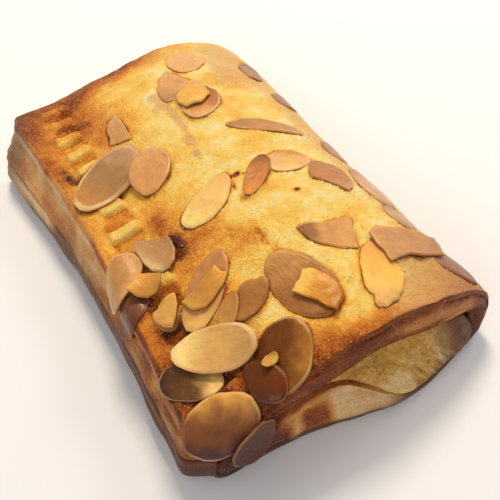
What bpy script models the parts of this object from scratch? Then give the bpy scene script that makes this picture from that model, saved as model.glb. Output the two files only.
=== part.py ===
# A roll of puff pastry filled with almond paste: one sheet of dough folded over the filling,
# pressed shut along one long side, open at both ends, with sliced almonds baked onto the top.
#
# X runs from the pressed side (-) to the fold (+), Y along the roll with the wider mouth at -Y,
# Z up. The origin lies under the middle of the roll, on the surface that it stands on.
# Sizes are in millimetres and become metres in to_metres().

import math

import bpy
import numpy as np
from mathutils import Vector, noise
from mathutils.bvhtree import BVHTree

# Where the pastry is measured along Y, and its section there
NEAR_END = -62.0
FAR_END = 69.0
STATIONS = (-62.0, -30.0, 5.0, 40.0, 69.0)
SEAL_EDGE_X = (-32.2, -31.6, -31.6, -33.2, -36.3)   # sharp top edge of the pressed side
SEAL_Z = (19.4, 20.4, 20.6, 20.8, 21.3)             # height of the pressed strip
SEAM_X = (-35.8, -35.6, -36.2, -39.4, -43.0)        # lower edge of the upper layer
FOOT_X = (-37.2, -36.9, -37.5, -41.8, -45.6)        # outermost line of the lower layer
CROWN_X = (10.0, 11.0, 12.0, 14.0, 18.0)
CROWN_Z = (27.2, 27.8, 27.6, 26.0, 23.6)
FOLD_X = (45.2, 44.8, 44.2, 46.0, 46.8)             # outermost line of the fold
FOLD_Z = (10.0, 10.0, 9.8, 9.0, 7.2)
HEEL_X = (38.6, 38.0, 37.4, 39.4, 41.0)             # where the fold meets the flat underside
ORIGIN = (0.8, 1.7)                                 # middle of the whole roll in these axes

SEAM_Z = 10.0
SEAM_DEPTH = 1.6
FOOT_Z = 2.4
SEAL_INNER_X = -24.0                                # the top starts to rise here
FOLD_SQUARENESS = 1.7                               # 2 would be an ellipse
NEAR_CORNER = 6.4
FAR_CORNER = 1.6
CORNER_DROOP = 4.2                                  # the nearer pressed corner sags this much
LAYER_PITCH = 3.3                                   # between the ridges of the flaky sides
LAYER_DEPTH = 0.45
LIP_REACH = 6.3                                     # the lower sheet sticks out at the mouth
FAR_LIP_REACH = 3.0
LIP_X = 17.0
LIP_SPREAD = 20.0
LIP_TOP = 15.0                                      # nothing above this height sticks out
LIP_LENGTH = 18.0                                   # along Y, from the end inwards
CUT_ROUND = 1.0                                     # bulge of the cut edges at both ends
CUT_SHARES = (0.16, 0.55)                           # rings across a cut edge, outer to inner

# Bars pressed into the sealed strip by a fork-like crimper, a little closer towards the far end
BAR_PITCH = 10.1
BAR_CLOSING = 0.18
BAR_Y = 0.8
BAR_X = -22.4
BAR_LENGTH = 7.0
BAR_WIDTH = 3.6
BAR_HEIGHT = 0.9
FIRST_BAR, LAST_BAR = -5, 7

# Points along each stretch of the outer line
UPPER_WALL_STEPS = 5
TOP_STEPS = 14
FOLD_STEPS = 10
HEEL_STEPS = 4
UNDER_STEPS = 9
LOWER_WALL_STEPS = 4

# Hollow that holds the filling
CAVITY_RIGHT = 39.6
CAVITY_TURN = 33.0                                  # the hollow starts to round off here
CAVITY_MID_Z = 12.0
MID_BELOW_ROOF = 2.5                                # at least, where the hollow rounds off
CAVITY_LEFT = -16.0
CREVICE_END = -29.0                                 # the unsealed layers part this far at the ends
CREVICE_GAP = 0.9
SHEET = 4.0                                         # thickness of the rolled dough
SHEET_SWELL = 5.2                                   # the top sheet is puffed over the filling
SWELL_X = 15.0
SWELL_SPREAD = 16.0
ROOF_SLOPE = 0.32                                   # right of the crown the roof comes down
FLOOR_RISE = 12.7                                   # the floor climbs towards the pressed side
FLOOR_RISE_START = 10.0
FLOOR_Z = 4.6
HOLLOW_STATIONS = (-57.0, -53.5, -50.0, -44.0, -25.0, 5.0, 30.0, 52.0, 58.0, 64.0)
MOUTH_START = 1.5                                   # the near mouth keeps its own form from here
MOUTH_DEPTH = 13.0                                  # to here, measured inwards
MOUTH_X = (-16.0, -8.0, 0.0, 4.0, 8.0, 12.0, 16.0, 24.0, 33.0)
MOUTH_ROOF = (17.9, 16.3, 16.2, 16.4, 17.1, 17.2, 16.4, 13.7, 11.8)
MOUTH_FLOOR = (17.0, 15.1, 13.2, 11.2, 8.0, 4.8, 2.7, 1.6, 1.4)

# Filling
PASTE_LEFT = -12.5
MOUTH_PASTE_LEFT = -3.0
PASTE_RIGHT = 37.0
PASTE_TURN = 27.0                                   # the filling tapers off to the right from here
PASTE_TAPER = 0.8
PASTE_THIN = 0.1                                    # share of its height that is left at its edge
PASTE_LUMP = 0.9
PASTE_GAP = 0.5
STEP_GAP = 1.2                                      # more room over the step in the mouth's floor
GAP = 0.35

RINGS_PER_BAR = 4
FLAKE_SIDES = 14
FLAKE_THICK = 1.15
STIFFNESS = 0.006                                   # how little a slice bends to what it lies on

# Almond slices in the order in which they fell: place on the roll seen from above, turn of the
# long axis from +X in degrees, length, width, narrowing of the +long end, sideways bow, curl of
# the ends, and straight breaks, each as the way it faces from the long axis and its distance
FLAKE_FIELDS = ("x", "y", "turn", "long", "wide", "tip", "bow", "curl", "breaks")
FLAKES = (
    (-9.5, 35.5, 75, 17.5, 9.5, 0.60, 0.0, 0.4, ((158, 4.5),)),
    (-19.0, 20.5, 25, 24.5, 15.0, -0.15, 0.0, 0.5, ()),
    (-8.0, 13.0, 55, 16.0, 12.0, 0.00, 0.0, 0.3, ()),
    (-0.5, -7.5, 25, 19.0, 10.5, 0.10, 1.4, 0.2, ()),
    (22.5, 55.0, -110, 15.0, 13.5, 0.10, 0.0, 0.2, ()),
    (13.5, 43.8, 70, 20.0, 11.0, 0.00, 0.0, 0.2, ((-50, 4.6), (-165, 8.6))),
    (15.8, 29.6, -115, 16.5, 12.5, 0.10, 0.0, 0.3, ()),
    (14.5, 31.8, 65, 15.5, 11.5, 0.10, 0.0, 0.3, ((-168, 5.6), (100, 4.5))),
    (27.0, 10.5, -25, 23.0, 7.5, 0.30, 0.0, 0.0, ()),
    (24.0, -6.5, -5, 13.5, 9.5, 0.10, 0.0, 0.2, ()),
    (13.5, -8.5, -135, 16.0, 7.0, 0.35, 0.0, 0.3, ((0, 7.5),)),
    (30.0, -18.0, -55, 14.0, 9.0, 0.20, 0.0, 0.2, ((25, 5.5), (-150, 5.5))),
    (40.8, -21.5, -88, 18.0, 10.5, 0.10, 0.0, 0.0, ()),
    (39.3, -35.0, -75, 11.0, 7.5, 0.10, 0.0, 0.0, ()),
    (20.5, -51.5, 65, 19.5, 10.5, 0.45, 0.0, 0.4, ((100, 4.0),)),
    (40.2, -54.0, -60, 12.5, 8.0, 0.20, 0.0, 0.0, ()),
    (32.5, -46.0, -8, 23.5, 13.0, 0.35, 0.0, 0.5, ((-175, 9.5),)),
    (18.5, -35.5, 140, 17.0, 12.0, 0.75, 0.0, 0.4, ((-155, 5.5),)),
    (5.0, -43.5, 100, 21.5, 13.5, 0.10, 0.0, 0.4, ()),
    (6.5, -49.0, -70, 13.5, 8.5, 0.10, 0.0, 0.5, ((-165, 5.0), (-75, 3.0))),
    (-7.5, -55.5, 40, 17.4, 14.0, 0.10, 0.0, 0.5, ()),
    (-13.0, -58.0, 115, 11.0, 8.5, 0.10, 0.0, 0.2, ()),
    (-9.6, -55.2, 20, 3.8, 3.2, 0.10, 0.0, 0.1, ()),
    (-31.5, -23.5, 15, 11.5, 8.0, 0.10, 0.0, 0.0, ()),
    (-29.5, -14.0, 40, 16.0, 11.0, 0.15, 0.0, 0.3, ()),
    (-24.5, -21.0, -45, 9.5, 7.5, 0.10, 0.0, 0.3, ((105, 3.5), (12, 4.0), (-103, 3.0))),
    (-18.5, -12.5, -65, 14.5, 10.0, -0.10, 0.0, 0.5, ()),
    (-23.5, -31.0, 15, 6.5, 5.5, 0.20, 0.0, 0.1, ()),
    (-23.5, -28.8, 38, 11.5, 6.4, 0.00, 0.0, 0.3, ((118, 2.4), (180, 4.6))),
    (-13.0, -30.5, 40, 21.5, 10.0, 0.10, 0.0, 0.3, ()),
    (-13.0, -32.5, 22, 16.0, 6.5, 0.10, 0.0, 0.4, ((14, 6.0), (-150, 5.5), (100, 2.5))),
    (-6.5, -39.5, 20, 12.5, 8.0, 0.10, 0.0, 0.2, ()),
    (-11.0, -39.0, 44, 8.9, 6.0, 0.20, 0.0, 0.1, ()),
    (-26.5, -47.5, -35, 15.0, 9.5, 0.10, 0.0, 0.2, ()),
    (-18.0, -45.0, 150, 20.5, 12.0, 0.10, 0.0, 0.4, ()),
    (-24.6, -58.0, 5, 18.5, 14.0, 0.15, 0.0, -0.4, ()),
    (42.3, 26.3, 75, 12.5, 9.0, 0.10, 0.0, 0.0, ()),
    (41.0, 46.4, 75, 13.5, 8.0, 0.10, 0.0, 0.0, ()),
    (41.2, -2.9, 80, 12.0, 7.5, 0.10, 0.0, 0.0, ()),
)
# One more has slid onto the cut face at the nearer pressed corner: here y is its height
END_FLAKES = ((-21.0, 13.2, 50, 14.5, 9.5, 0.10, 0.0, 0.1, ()),)


def to_metres(points):
    shift = np.array([ORIGIN[0], ORIGIN[1], 0.0])
    return (np.asarray(points, float) - shift) * 0.001


def smooth(low, high, value):
    t = min(max((value - low) / (high - low), 0.0), 1.0)
    return t * t * (3 - 2 * t)


def along(values, y, places=STATIONS):
    """A value given at the stations, read at y from a curve through them."""
    y = min(max(y, places[0]), places[-1])
    i = min(max(int(np.searchsorted(places, y)) - 1, 0), len(places) - 2)
    slopes = np.gradient(np.array(values, float), np.array(places))
    h = places[i + 1] - places[i]
    t = (y - places[i]) / h
    return ((1 + 2 * t) * (1 - t) ** 2 * values[i] + t * (1 - t) ** 2 * h * slopes[i]
            + t * t * (3 - 2 * t) * values[i + 1] + t * t * (t - 1) * h * slopes[i + 1])


def corner(y):
    """How far the long sides draw in towards the ends."""
    near, far = smooth(NEAR_END + 7, NEAR_END, y), smooth(FAR_END - 6, FAR_END, y)
    return NEAR_CORNER * near ** 2 + FAR_CORNER * far ** 2


def ripple(x, y, z, size, amount):
    return amount * noise.noise(Vector((x / size, y / size, z / size)))


def top_z(x, y):
    """Height of the upper surface left of the fold's curve."""
    seal, crown = along(SEAL_Z, y), along(CROWN_Z, y)
    span = along(CROWN_X, y) - SEAL_INNER_X
    t = min(max((x - SEAL_INNER_X) / span, 0.0), 1.0)
    droop = CORNER_DROOP * smooth(NEAR_END + 11, NEAR_END, y) * smooth(-12, -27, x)
    return seal + (crown - seal) * math.sin(t * math.pi / 2) ** 1.2 - droop


def bar_y(count):
    return BAR_Y + BAR_PITCH * count - BAR_CLOSING * count ** 2


def bar_count(y):
    """Number of the bar at y, counted from the one at BAR_Y; the inverse of bar_y."""
    root = BAR_PITCH ** 2 - 4 * BAR_CLOSING * (y - BAR_Y)
    return (BAR_PITCH - math.sqrt(root)) / (2 * BAR_CLOSING)


def bar_relief(x, y):
    """Crimped bars, raised, with a shallow dent between each two."""
    count = bar_count(y)
    off_y = abs(y - bar_y(round(count)))
    if not FIRST_BAR - 0.4 < count < LAST_BAR + 0.4:
        return 0.0
    across = smooth(BAR_LENGTH / 2 + 1.2, BAR_LENGTH / 2 - 0.6, abs(x - BAR_X))
    bar = smooth(BAR_WIDTH / 2 + 0.9, BAR_WIDTH / 2 - 0.6, off_y)
    return across * BAR_HEIGHT * (1.5 * bar - 0.5)


def wall(y, low, high, x_low, x_high, steps):
    """Layered cut face, from low to high."""
    line = []
    for i in range(steps):
        t = i / (steps - 1)
        z = low + (high - low) * t
        layer = LAYER_DEPTH * math.sin(2 * math.pi * (z / LAYER_PITCH + 0.012 * y))
        line.append((x_low + (x_high - x_low) * t - layer + ripple(9, y, z, 7, 1.0), z))
    return line


def crust_section(y):
    """Outer line of the crust at y: up the pressed side, over the top, round the fold, back."""
    draw = corner(y)
    edge_x = along(SEAL_EDGE_X, y) + draw
    seal = top_z(edge_x, y)
    seam_x, foot_x = along(SEAM_X, y) + draw, along(FOOT_X, y) + draw
    crown_x, crown = along(CROWN_X, y), along(CROWN_Z, y)
    fold_x, fold_z = along(FOLD_X, y) - 0.1 * draw, along(FOLD_Z, y)
    heel_x = along(HEEL_X, y) - 0.1 * draw
    upper = [(seam_x + SEAM_DEPTH, SEAM_Z)]
    upper += wall(y, SEAM_Z + 1.0, seal - 1.6, seam_x, edge_x, UPPER_WALL_STEPS)
    upper += [(edge_x + 0.25, seal - 0.5), (edge_x + 1.2, seal)]
    start = edge_x + 3.0
    for i in range(TOP_STEPS):
        x = start + (crown_x - start) * (i / TOP_STEPS) ** 1.25
        upper.append((x, top_z(x, y)))
    for i in range(FOLD_STEPS):
        turn = i / (FOLD_STEPS - 0.4) * math.pi / 2
        x = crown_x + (fold_x - crown_x) * math.sin(turn) ** (2 / FOLD_SQUARENESS)
        z = fold_z + (crown - fold_z) * math.cos(turn) ** (2 / FOLD_SQUARENESS)
        upper.append((x, z))
    upper = [(x, z + bar_relief(x, y) + ripple(x, y, z, 13, 0.9)) if x > edge_x + 1.0 else (x, z)
             for x, z in upper]
    lower = []
    for i in range(HEEL_STEPS):
        turn = i / HEEL_STEPS * math.pi / 2
        lower.append((heel_x + (fold_x - heel_x) * math.cos(turn), fold_z * (1 - math.sin(turn))))
    left = foot_x + 4.0
    lower += [(heel_x + (left - heel_x) * i / (UNDER_STEPS - 1), 0.0) for i in range(UNDER_STEPS)]
    lower += [(foot_x + 1.2, 1.0)]
    lower += wall(y, FOOT_Z, SEAM_Z - 1.0, foot_x, seam_x - 0.3, LOWER_WALL_STEPS)
    return upper, lower


def at_mouth(y):
    return smooth(NEAR_END + MOUTH_DEPTH, NEAR_END + MOUTH_START, y)


def hollow_line(x, y, side):
    """Roof (side +1) or floor (side -1) of the hollow at x."""
    core = min(max(x, CAVITY_LEFT), CAVITY_TURN)
    swell = SHEET_SWELL * math.exp(-((core - SWELL_X) / SWELL_SPREAD) ** 2)
    fall = along(CROWN_Z, y) - CROWN_Z[0]
    roof = top_z(core, y) - SHEET - swell
    if core > along(CROWN_X, y):
        roof -= ROOF_SLOPE * (core - along(CROWN_X, y))
    rise = max((FLOOR_RISE_START - core) / (FLOOR_RISE_START - CAVITY_LEFT), 0.0) ** 1.3
    floor = FLOOR_Z + (FLOOR_RISE + 0.3 * fall) * rise
    mouth = at_mouth(y)
    roof += (along(MOUTH_ROOF, core, MOUTH_X) - roof) * mouth
    floor += (along(MOUTH_FLOOR, core, MOUTH_X) - floor) * mouth
    if x > CAVITY_TURN:
        t = (x - CAVITY_TURN) / (CAVITY_RIGHT - CAVITY_TURN)
        mid_z = min(CAVITY_MID_Z, roof - MID_BELOW_ROOF)
        roof = mid_z + (roof - mid_z) * math.sqrt(max(1 - t ** 2, 0))
        floor = mid_z - (mid_z - floor) * max(1 - t ** 3, 0) ** (1 / 3)
    if x < CAVITY_LEFT:
        t = (CAVITY_LEFT - x) / (CAVITY_LEFT - CREVICE_END)
        roof += (SEAM_Z + 0.6 - roof) * t
        floor = roof - CREVICE_GAP * (1 - 0.6 * t)
    return roof if side > 0 else floor


def hollow_section(y, upper_count, lower_count):
    """Line of the hollow, point for point with the outer line of the crust."""
    open_end = max(smooth(NEAR_END + 9, NEAR_END + 2, y), smooth(FAR_END - 9, FAR_END - 2, y))
    tip = CAVITY_LEFT - 1.5 + (CREVICE_END - CAVITY_LEFT + 1.5) * open_end
    def line(count, side):
        shares = [(i + (0.5 if side < 0 else 0.0)) / count for i in range(count)]
        crowd = 1.6 if side > 0 else 1.2
        xs = [tip + (CAVITY_RIGHT - 0.01 - tip) * (1 - (1 - s) ** crowd) for s in shares]
        return [(x, hollow_line(x, y, side)) for x in xs]
    return line(upper_count, 1), line(lower_count, -1)[::-1]


def reach(x, y, z):
    """How far a point near an end is carried outwards, because the lower sheet sticks out."""
    bell = math.exp(-((x - LIP_X) / LIP_SPREAD) ** 2) * (1 - smooth(2.5, LIP_TOP, z))
    near = smooth(NEAR_END + LIP_LENGTH, NEAR_END, y)
    far = smooth(FAR_END - LIP_LENGTH, FAR_END, y)
    return bell * (FAR_LIP_REACH * far - LIP_REACH * near)


def ring(section, y, push=0.0):
    return [(x, y + push + reach(x, y, z), z) for x, z in section]


def ring_faces(first, second, count):
    """Quads between two rings, given by the index of their first points."""
    return [(first + i, first + (i + 1) % count, second + (i + 1) % count, second + i)
            for i in range(count)]


def crust_mesh():
    """Rings from the outer line, round one cut end, back along the hollow, round the other."""
    first, last = (round(bar_count(end) * RINGS_PER_BAR) for end in (NEAR_END, FAR_END))
    ys = [bar_y(i / RINGS_PER_BAR) for i in range(first + 1, last)]
    ys = [NEAR_END, *ys, FAR_END]
    rings = []
    for y in ys:
        upper, lower = crust_section(y)
        rings.append(ring(upper + lower, y))
    def hollow(y, push=0.0):
        above, below = hollow_section(y, len(upper), len(lower))
        return ring(above + below, y, push)
    def cut(outer, inner, share, bulge):
        rough = [ripple(p[0], 5.0, p[2], 3.0, 0.8) for p in outer]
        return [tuple(a * (1 - share) + b * share + (bulge + r if axis == 1 else 0)
                      for axis, (a, b) in enumerate(zip(p, q)))
                for p, q, r in zip(outer, inner, rough)]
    inner_ys = [FAR_END, *HOLLOW_STATIONS[::-1], NEAR_END]
    far_rim, near_rim = rings[-1], rings[0]
    rings += [cut(far_rim, hollow(FAR_END), share, CUT_ROUND) for share in CUT_SHARES]
    rings += [hollow(y) for y in inner_ys]
    rings += [cut(near_rim, hollow(NEAR_END), share, -CUT_ROUND) for share in CUT_SHARES[::-1]]
    count = len(near_rim)
    points = [p for r in rings for p in r]
    faces = []
    for i in range(len(rings)):
        faces += ring_faces(i * count, (i + 1) % len(rings) * count, count)
    return points, faces


def paste_mesh():
    """Filling from mouth to mouth, just clear of the crust, with a lumpy rounded face."""
    half = 13
    def section(y):
        left = PASTE_LEFT + (MOUTH_PASTE_LEFT - PASTE_LEFT) * at_mouth(y)
        xs = [left + (PASTE_RIGHT - left) * (1 - (1 - i / (half - 1)) ** 1.3)
              for i in range(half)]
        above, below = [], []
        for x in xs:
            roof = hollow_line(x, y, 1) - PASTE_GAP
            floor = hollow_line(x, y, -1) + PASTE_GAP + STEP_GAP * at_mouth(y)
            t = max((x - PASTE_TURN) / (PASTE_RIGHT - PASTE_TURN), 0.0)
            above.append((x, floor + (roof - floor) * max((1 - t * t) ** PASTE_TAPER, PASTE_THIN)))
            below.append((x, floor))
        return above + below[::-1]
    near, far = NEAR_END + 1.2, FAR_END - 1.2
    rings = []
    def face(y, outward, shares):
        base = np.array(section(y))
        middle = (base[:half, 1] + base[half:, 1][::-1]) / 2
        mid_x = base[:, 0].mean()
        def heart(x):
            return np.interp(x, base[:half, 0], middle)
        for share in shares:
            xs = mid_x + (base[:, 0] - mid_x) * share
            line = list(zip(xs, heart(xs) + (base[:, 1] - heart(base[:, 0])) * share))
            lump = [ripple(x, outward, z, 6.0, PASTE_LUMP) for x, z in line]
            bulge = outward * 1.4 * math.sqrt(1 - share)
            rings.append([(px, py + bulge + l * (1 - share), pz)
                          for (px, py, pz), l in zip(ring(line, y), lump)])
    face(near, -1, (0.3, 0.65, 0.9))
    rings += [ring(section(y), y) for y in (near, *HOLLOW_STATIONS, far)]
    face(far, 1, (0.9, 0.65, 0.3))
    count = 2 * half
    points = [p for r in rings for p in r]
    faces = []
    for i in range(len(rings) - 1):
        faces += ring_faces(i * count, (i + 1) * count, count)
    for first, flip in ((0, True), ((len(rings) - 1) * count, False)):
        hub = len(points)
        points.append(tuple(np.mean(points[first:first + count], axis=0)))
        for i in range(count):
            a, b = first + i, first + (i + 1) % count
            faces.append((hub, b, a) if flip else (hub, a, b))
    return points, faces


def flake_outline(flake, angle):
    """Rim of an almond slice in its own plane, at an angle from its long axis."""
    x = flake["long"] / 2 * math.cos(angle)
    y = flake["wide"] / 2 * math.sin(angle) * (1 - flake["tip"] * (1 + math.cos(angle)) / 2)
    y += flake["bow"] * ((2 * x / flake["long"]) ** 2 - 0.4)
    for facing, distance in flake["breaks"]:
        reached = x * math.cos(math.radians(facing)) + y * math.sin(math.radians(facing))
        if reached > distance:
            x, y = x * distance / reached, y * distance / reached
    return x, y


def nearest_hit(trees, start, direction):
    hits = [tree.ray_cast(start, direction) for tree in trees]
    return min((h for h in hits if h[0] is not None), key=lambda h: h[3], default=None)


def flake_frame(flake, trees):
    """Centre on the crust below, and the directions along, across and up from it."""
    turn = math.radians(flake["turn"])
    along_x, along_v = math.cos(turn), math.sin(turn)
    if flake["on_end"]:
        place, down, level = (flake["x"], -90, flake["y"]), Vector((0, 1, 0)), (along_x, 0, along_v)
        side = (along_v, 0, -along_x)
    else:
        place, down, level = (flake["x"], flake["y"], 60), Vector((0, 0, -1)), (along_x, along_v, 0)
        side = (-along_v, along_x, 0)
    place, level, side = Vector(place), Vector(level), Vector(side)
    up = Vector()
    for i in range(12):
        x, y = (0.6 * c for c in flake_outline(flake, 2 * math.pi * i / 12))
        hit = nearest_hit(trees[:1], place + level * x + side * y, down)
        if hit:
            up += hit[1]
    up.normalize()
    centre = nearest_hit(trees[:1], place, down)[0]
    right = (level - up * level.dot(up)).normalized()
    return centre, right, up.cross(right), up


def bed_surface(flake, trees, frame):
    """Gently bent surface on which the flake rests, as a function of its own coordinates."""
    centre, right, across, up = frame
    rows, heights = [], []
    for share in (0.0, 0.3, 0.6, 0.85, 1.0, 1.08):
        for i in range(24 if share else 1):
            x, y = (share * c for c in flake_outline(flake, 2 * math.pi * i / 24))
            start = centre + right * x + across * y + up * 25
            hit = nearest_hit(trees, start, -up)
            if hit and 25 - hit[3] > -4.0:
                rows.append((1, x, y, x * x, x * y, y * y))
                heights.append(25 - hit[3])
    rows, heights = np.array(rows), np.array(heights)
    stiff = np.diag((0, 0, 0, 1, 1, 1)) * len(rows) * flake["long"] ** 2 * STIFFNESS
    fit = np.linalg.solve(rows.T @ rows + stiff, rows.T @ heights)
    lift = float(np.max(heights - rows @ fit)) + GAP
    return fit, lift


def flake_mesh(flake, frame, fit, lift):
    """Thin slice with both faces split alike: two rings and a middle point on each."""
    centre, right, across, up = frame
    points = []
    for side in (0, 1):
        for share in (0.0, 0.55, 1.0):
            for i in range(FLAKE_SIDES if share else 1):
                x, y = (share * c for c in flake_outline(flake, 2 * math.pi * i / FLAKE_SIDES))
                bed = float(np.dot(fit, (1, x, y, x * x, x * y, y * y)))
                curl = flake["curl"] * (2 * x / flake["long"]) ** 2
                thick = FLAKE_THICK * (1.0 - 0.35 * share ** 4) * side
                points.append(centre + right * x + across * y + up * (bed + lift + curl + thick))
    n, half = FLAKE_SIDES, 1 + 2 * FLAKE_SIDES
    faces = []
    for base in (0, half):
        for i in range(n):
            j = (i + 1) % n
            tris = [(base, base + 1 + i, base + 1 + j),
                    (base + 1 + i, base + 1 + n + i, base + 1 + n + j),
                    (base + 1 + i, base + 1 + n + j, base + 1 + j)]
            faces += tris if base else [t[::-1] for t in tris]
    rim = 1 + n
    faces += [(rim + i, rim + (i + 1) % n, half + rim + (i + 1) % n, half + rim + i)
              for i in range(n)]
    return points, faces


def tree_of(points, faces):
    return BVHTree.FromPolygons([Vector(p) for p in points], faces)


def settle(flake, trees):
    """The flake lowered onto the crust and the flakes that are already there."""
    frame = flake_frame(flake, trees)
    fit, lift = bed_surface(flake, trees, frame)
    while True:
        points, faces = flake_mesh(flake, frame, fit, lift)
        probe = tree_of([p - frame[3] * GAP for p in points], faces)
        if not any(probe.overlap(tree) for tree in trees):
            return points, faces
        lift += 0.1


def material(name, colour, roughness):
    made = bpy.data.materials.new(name)
    made.use_nodes = True
    shader = made.node_tree.nodes["Principled BSDF"]
    shader.inputs["Base Color"].default_value = (*colour, 1.0)
    shader.inputs["Roughness"].default_value = roughness
    return made


def add_object(name, points, faces, finish):
    mesh = bpy.data.meshes.new(name)
    mesh.from_pydata([tuple(p) for p in to_metres(points)], [], faces)
    mesh.materials.append(finish)
    mesh.shade_smooth()
    mesh.set_sharp_from_angle(angle=math.radians(50))
    made = bpy.data.objects.new(name, mesh)
    bpy.context.scene.collection.objects.link(made)
    return made


def build():
    crust = material("baked_puff_pastry", (0.72, 0.40, 0.12), 0.42)
    paste = material("almond_paste", (0.62, 0.46, 0.18), 0.5)
    almond = material("toasted_almond", (0.62, 0.36, 0.15), 0.45)
    points, faces = crust_mesh()
    add_object("pastry", points, faces, crust)
    trees = [tree_of(points, faces)]
    add_object("almond_paste", *paste_mesh(), paste)
    for number, row in enumerate(FLAKES + END_FLAKES, 1):
        flake = dict(zip(FLAKE_FIELDS, row), on_end=row in END_FLAKES)
        shape = settle(flake, trees)
        trees.append(tree_of(*shape))
        add_object(f"almond_slice_{number:02d}", *shape, almond)


for old in list(bpy.data.objects):
    bpy.data.objects.remove(old, do_unlink=True)
build()
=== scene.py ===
# The look of the almond paste roll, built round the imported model.
# Shape code works in the roll's drawing axes, in millimetres: X from the pressed side to the fold,
# Y along the roll away from the near open end, Z up. toMetres brings it to the frame.
import math

import bpy
import numpy as np
from mathutils import Matrix, Vector, noise
from mathutils.bvhtree import BVHTree


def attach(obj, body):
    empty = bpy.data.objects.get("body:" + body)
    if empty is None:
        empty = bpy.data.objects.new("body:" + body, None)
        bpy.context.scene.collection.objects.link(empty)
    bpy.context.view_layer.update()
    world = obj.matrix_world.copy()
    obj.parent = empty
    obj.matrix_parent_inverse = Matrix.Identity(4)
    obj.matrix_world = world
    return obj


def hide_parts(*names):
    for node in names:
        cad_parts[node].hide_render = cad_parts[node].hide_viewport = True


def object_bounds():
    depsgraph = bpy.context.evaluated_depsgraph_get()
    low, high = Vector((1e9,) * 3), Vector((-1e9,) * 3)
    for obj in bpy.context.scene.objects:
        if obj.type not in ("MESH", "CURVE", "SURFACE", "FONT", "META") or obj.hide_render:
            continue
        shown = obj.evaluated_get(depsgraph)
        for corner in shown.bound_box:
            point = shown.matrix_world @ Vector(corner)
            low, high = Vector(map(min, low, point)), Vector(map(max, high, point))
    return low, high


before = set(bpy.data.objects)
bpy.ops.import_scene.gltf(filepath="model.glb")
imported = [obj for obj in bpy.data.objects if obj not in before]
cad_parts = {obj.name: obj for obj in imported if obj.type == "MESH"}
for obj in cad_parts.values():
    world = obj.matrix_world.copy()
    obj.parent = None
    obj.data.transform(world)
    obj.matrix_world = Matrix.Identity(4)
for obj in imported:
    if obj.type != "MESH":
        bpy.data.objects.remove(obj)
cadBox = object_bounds()
scene = bpy.context.scene
drawingCentre = (0.8, 1.7)  # middle of the roll in the drawing axes
print("frame loaded:", len(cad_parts), "nodes")


def toMetres(points):
    return (np.asarray(points, float) - (*drawingCentre, 0.0)) * 0.001


def hexColour(text):
    # sRGB hex to linear, with alpha 1
    parts = [int(text[i:i + 2], 16) / 255 for i in (1, 3, 5)]
    linear = [c / 12.92 if c <= 0.04045 else ((c + 0.055) / 1.055) ** 2.4 for c in parts]
    return (*linear, 1.0)


def smooth(low, high, value):
    t = np.clip((np.asarray(value, float) - low) / (high - low), 0.0, 1.0)
    return t * t * (3 - 2 * t)


def mix(a, b, t):
    return a + (b - a) * t


def perlin(points, size, offset=0.0):
    # gradient noise about zero, at points given in millimetres
    return np.array([noise.noise(Vector((p[0] / size + offset, p[1] / size, p[2] / size)))
                     for p in points])


def addNode(tree, kind, links=None, stops=None, **settings):
    node = tree.nodes.new(kind)
    for name, value in settings.items():
        setattr(node, name, value)
    if stops:
        ramp = node.color_ramp.elements
        while len(ramp) < len(stops):
            ramp.new(0.5)
        for element, (place, colour) in zip(ramp, stops):
            element.position = place
            element.color = hexColour(colour)
    for socket, source in (links or {}).items():
        if isinstance(source, bpy.types.Node):
            source = source.outputs[0]
        if isinstance(source, bpy.types.NodeSocket):
            tree.links.new(source, node.inputs[socket])
        else:
            node.inputs[socket].default_value = source
    return node


def newMaterial(name):
    made = bpy.data.materials.new(name)
    made.use_nodes = True
    made.node_tree.nodes.clear()
    return made, made.node_tree


layerKinds = {1: ("FLOAT", "value"), 3: ("FLOAT_VECTOR", "vector"), 4: ("FLOAT_COLOR", "color")}


def newObject(name, points, faces):
    mesh = bpy.data.meshes.new(name)
    mesh.from_pydata([tuple(p) for p in points], [], faces)
    made = bpy.data.objects.new(name, mesh)
    scene.collection.objects.link(made)
    return made


def finishPiece(piece, nodes=()):
    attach(piece, "root")
    if nodes:
        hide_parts(*nodes)


def addPiece(name, points, faces, material, nodes=(), layers=None):
    made = newObject(name, toMetres(points), faces)
    made.data.materials.append(material)
    made.data.shade_smooth()
    for layer, values in (layers or {}).items():
        values = np.asarray(values, float)
        kind, field = layerKinds[1 if values.ndim == 1 else values.shape[1]]
        made.data.attributes.new(layer, kind, "POINT").data.foreach_set(field, values.ravel())
    finishPiece(made, nodes)


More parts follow.
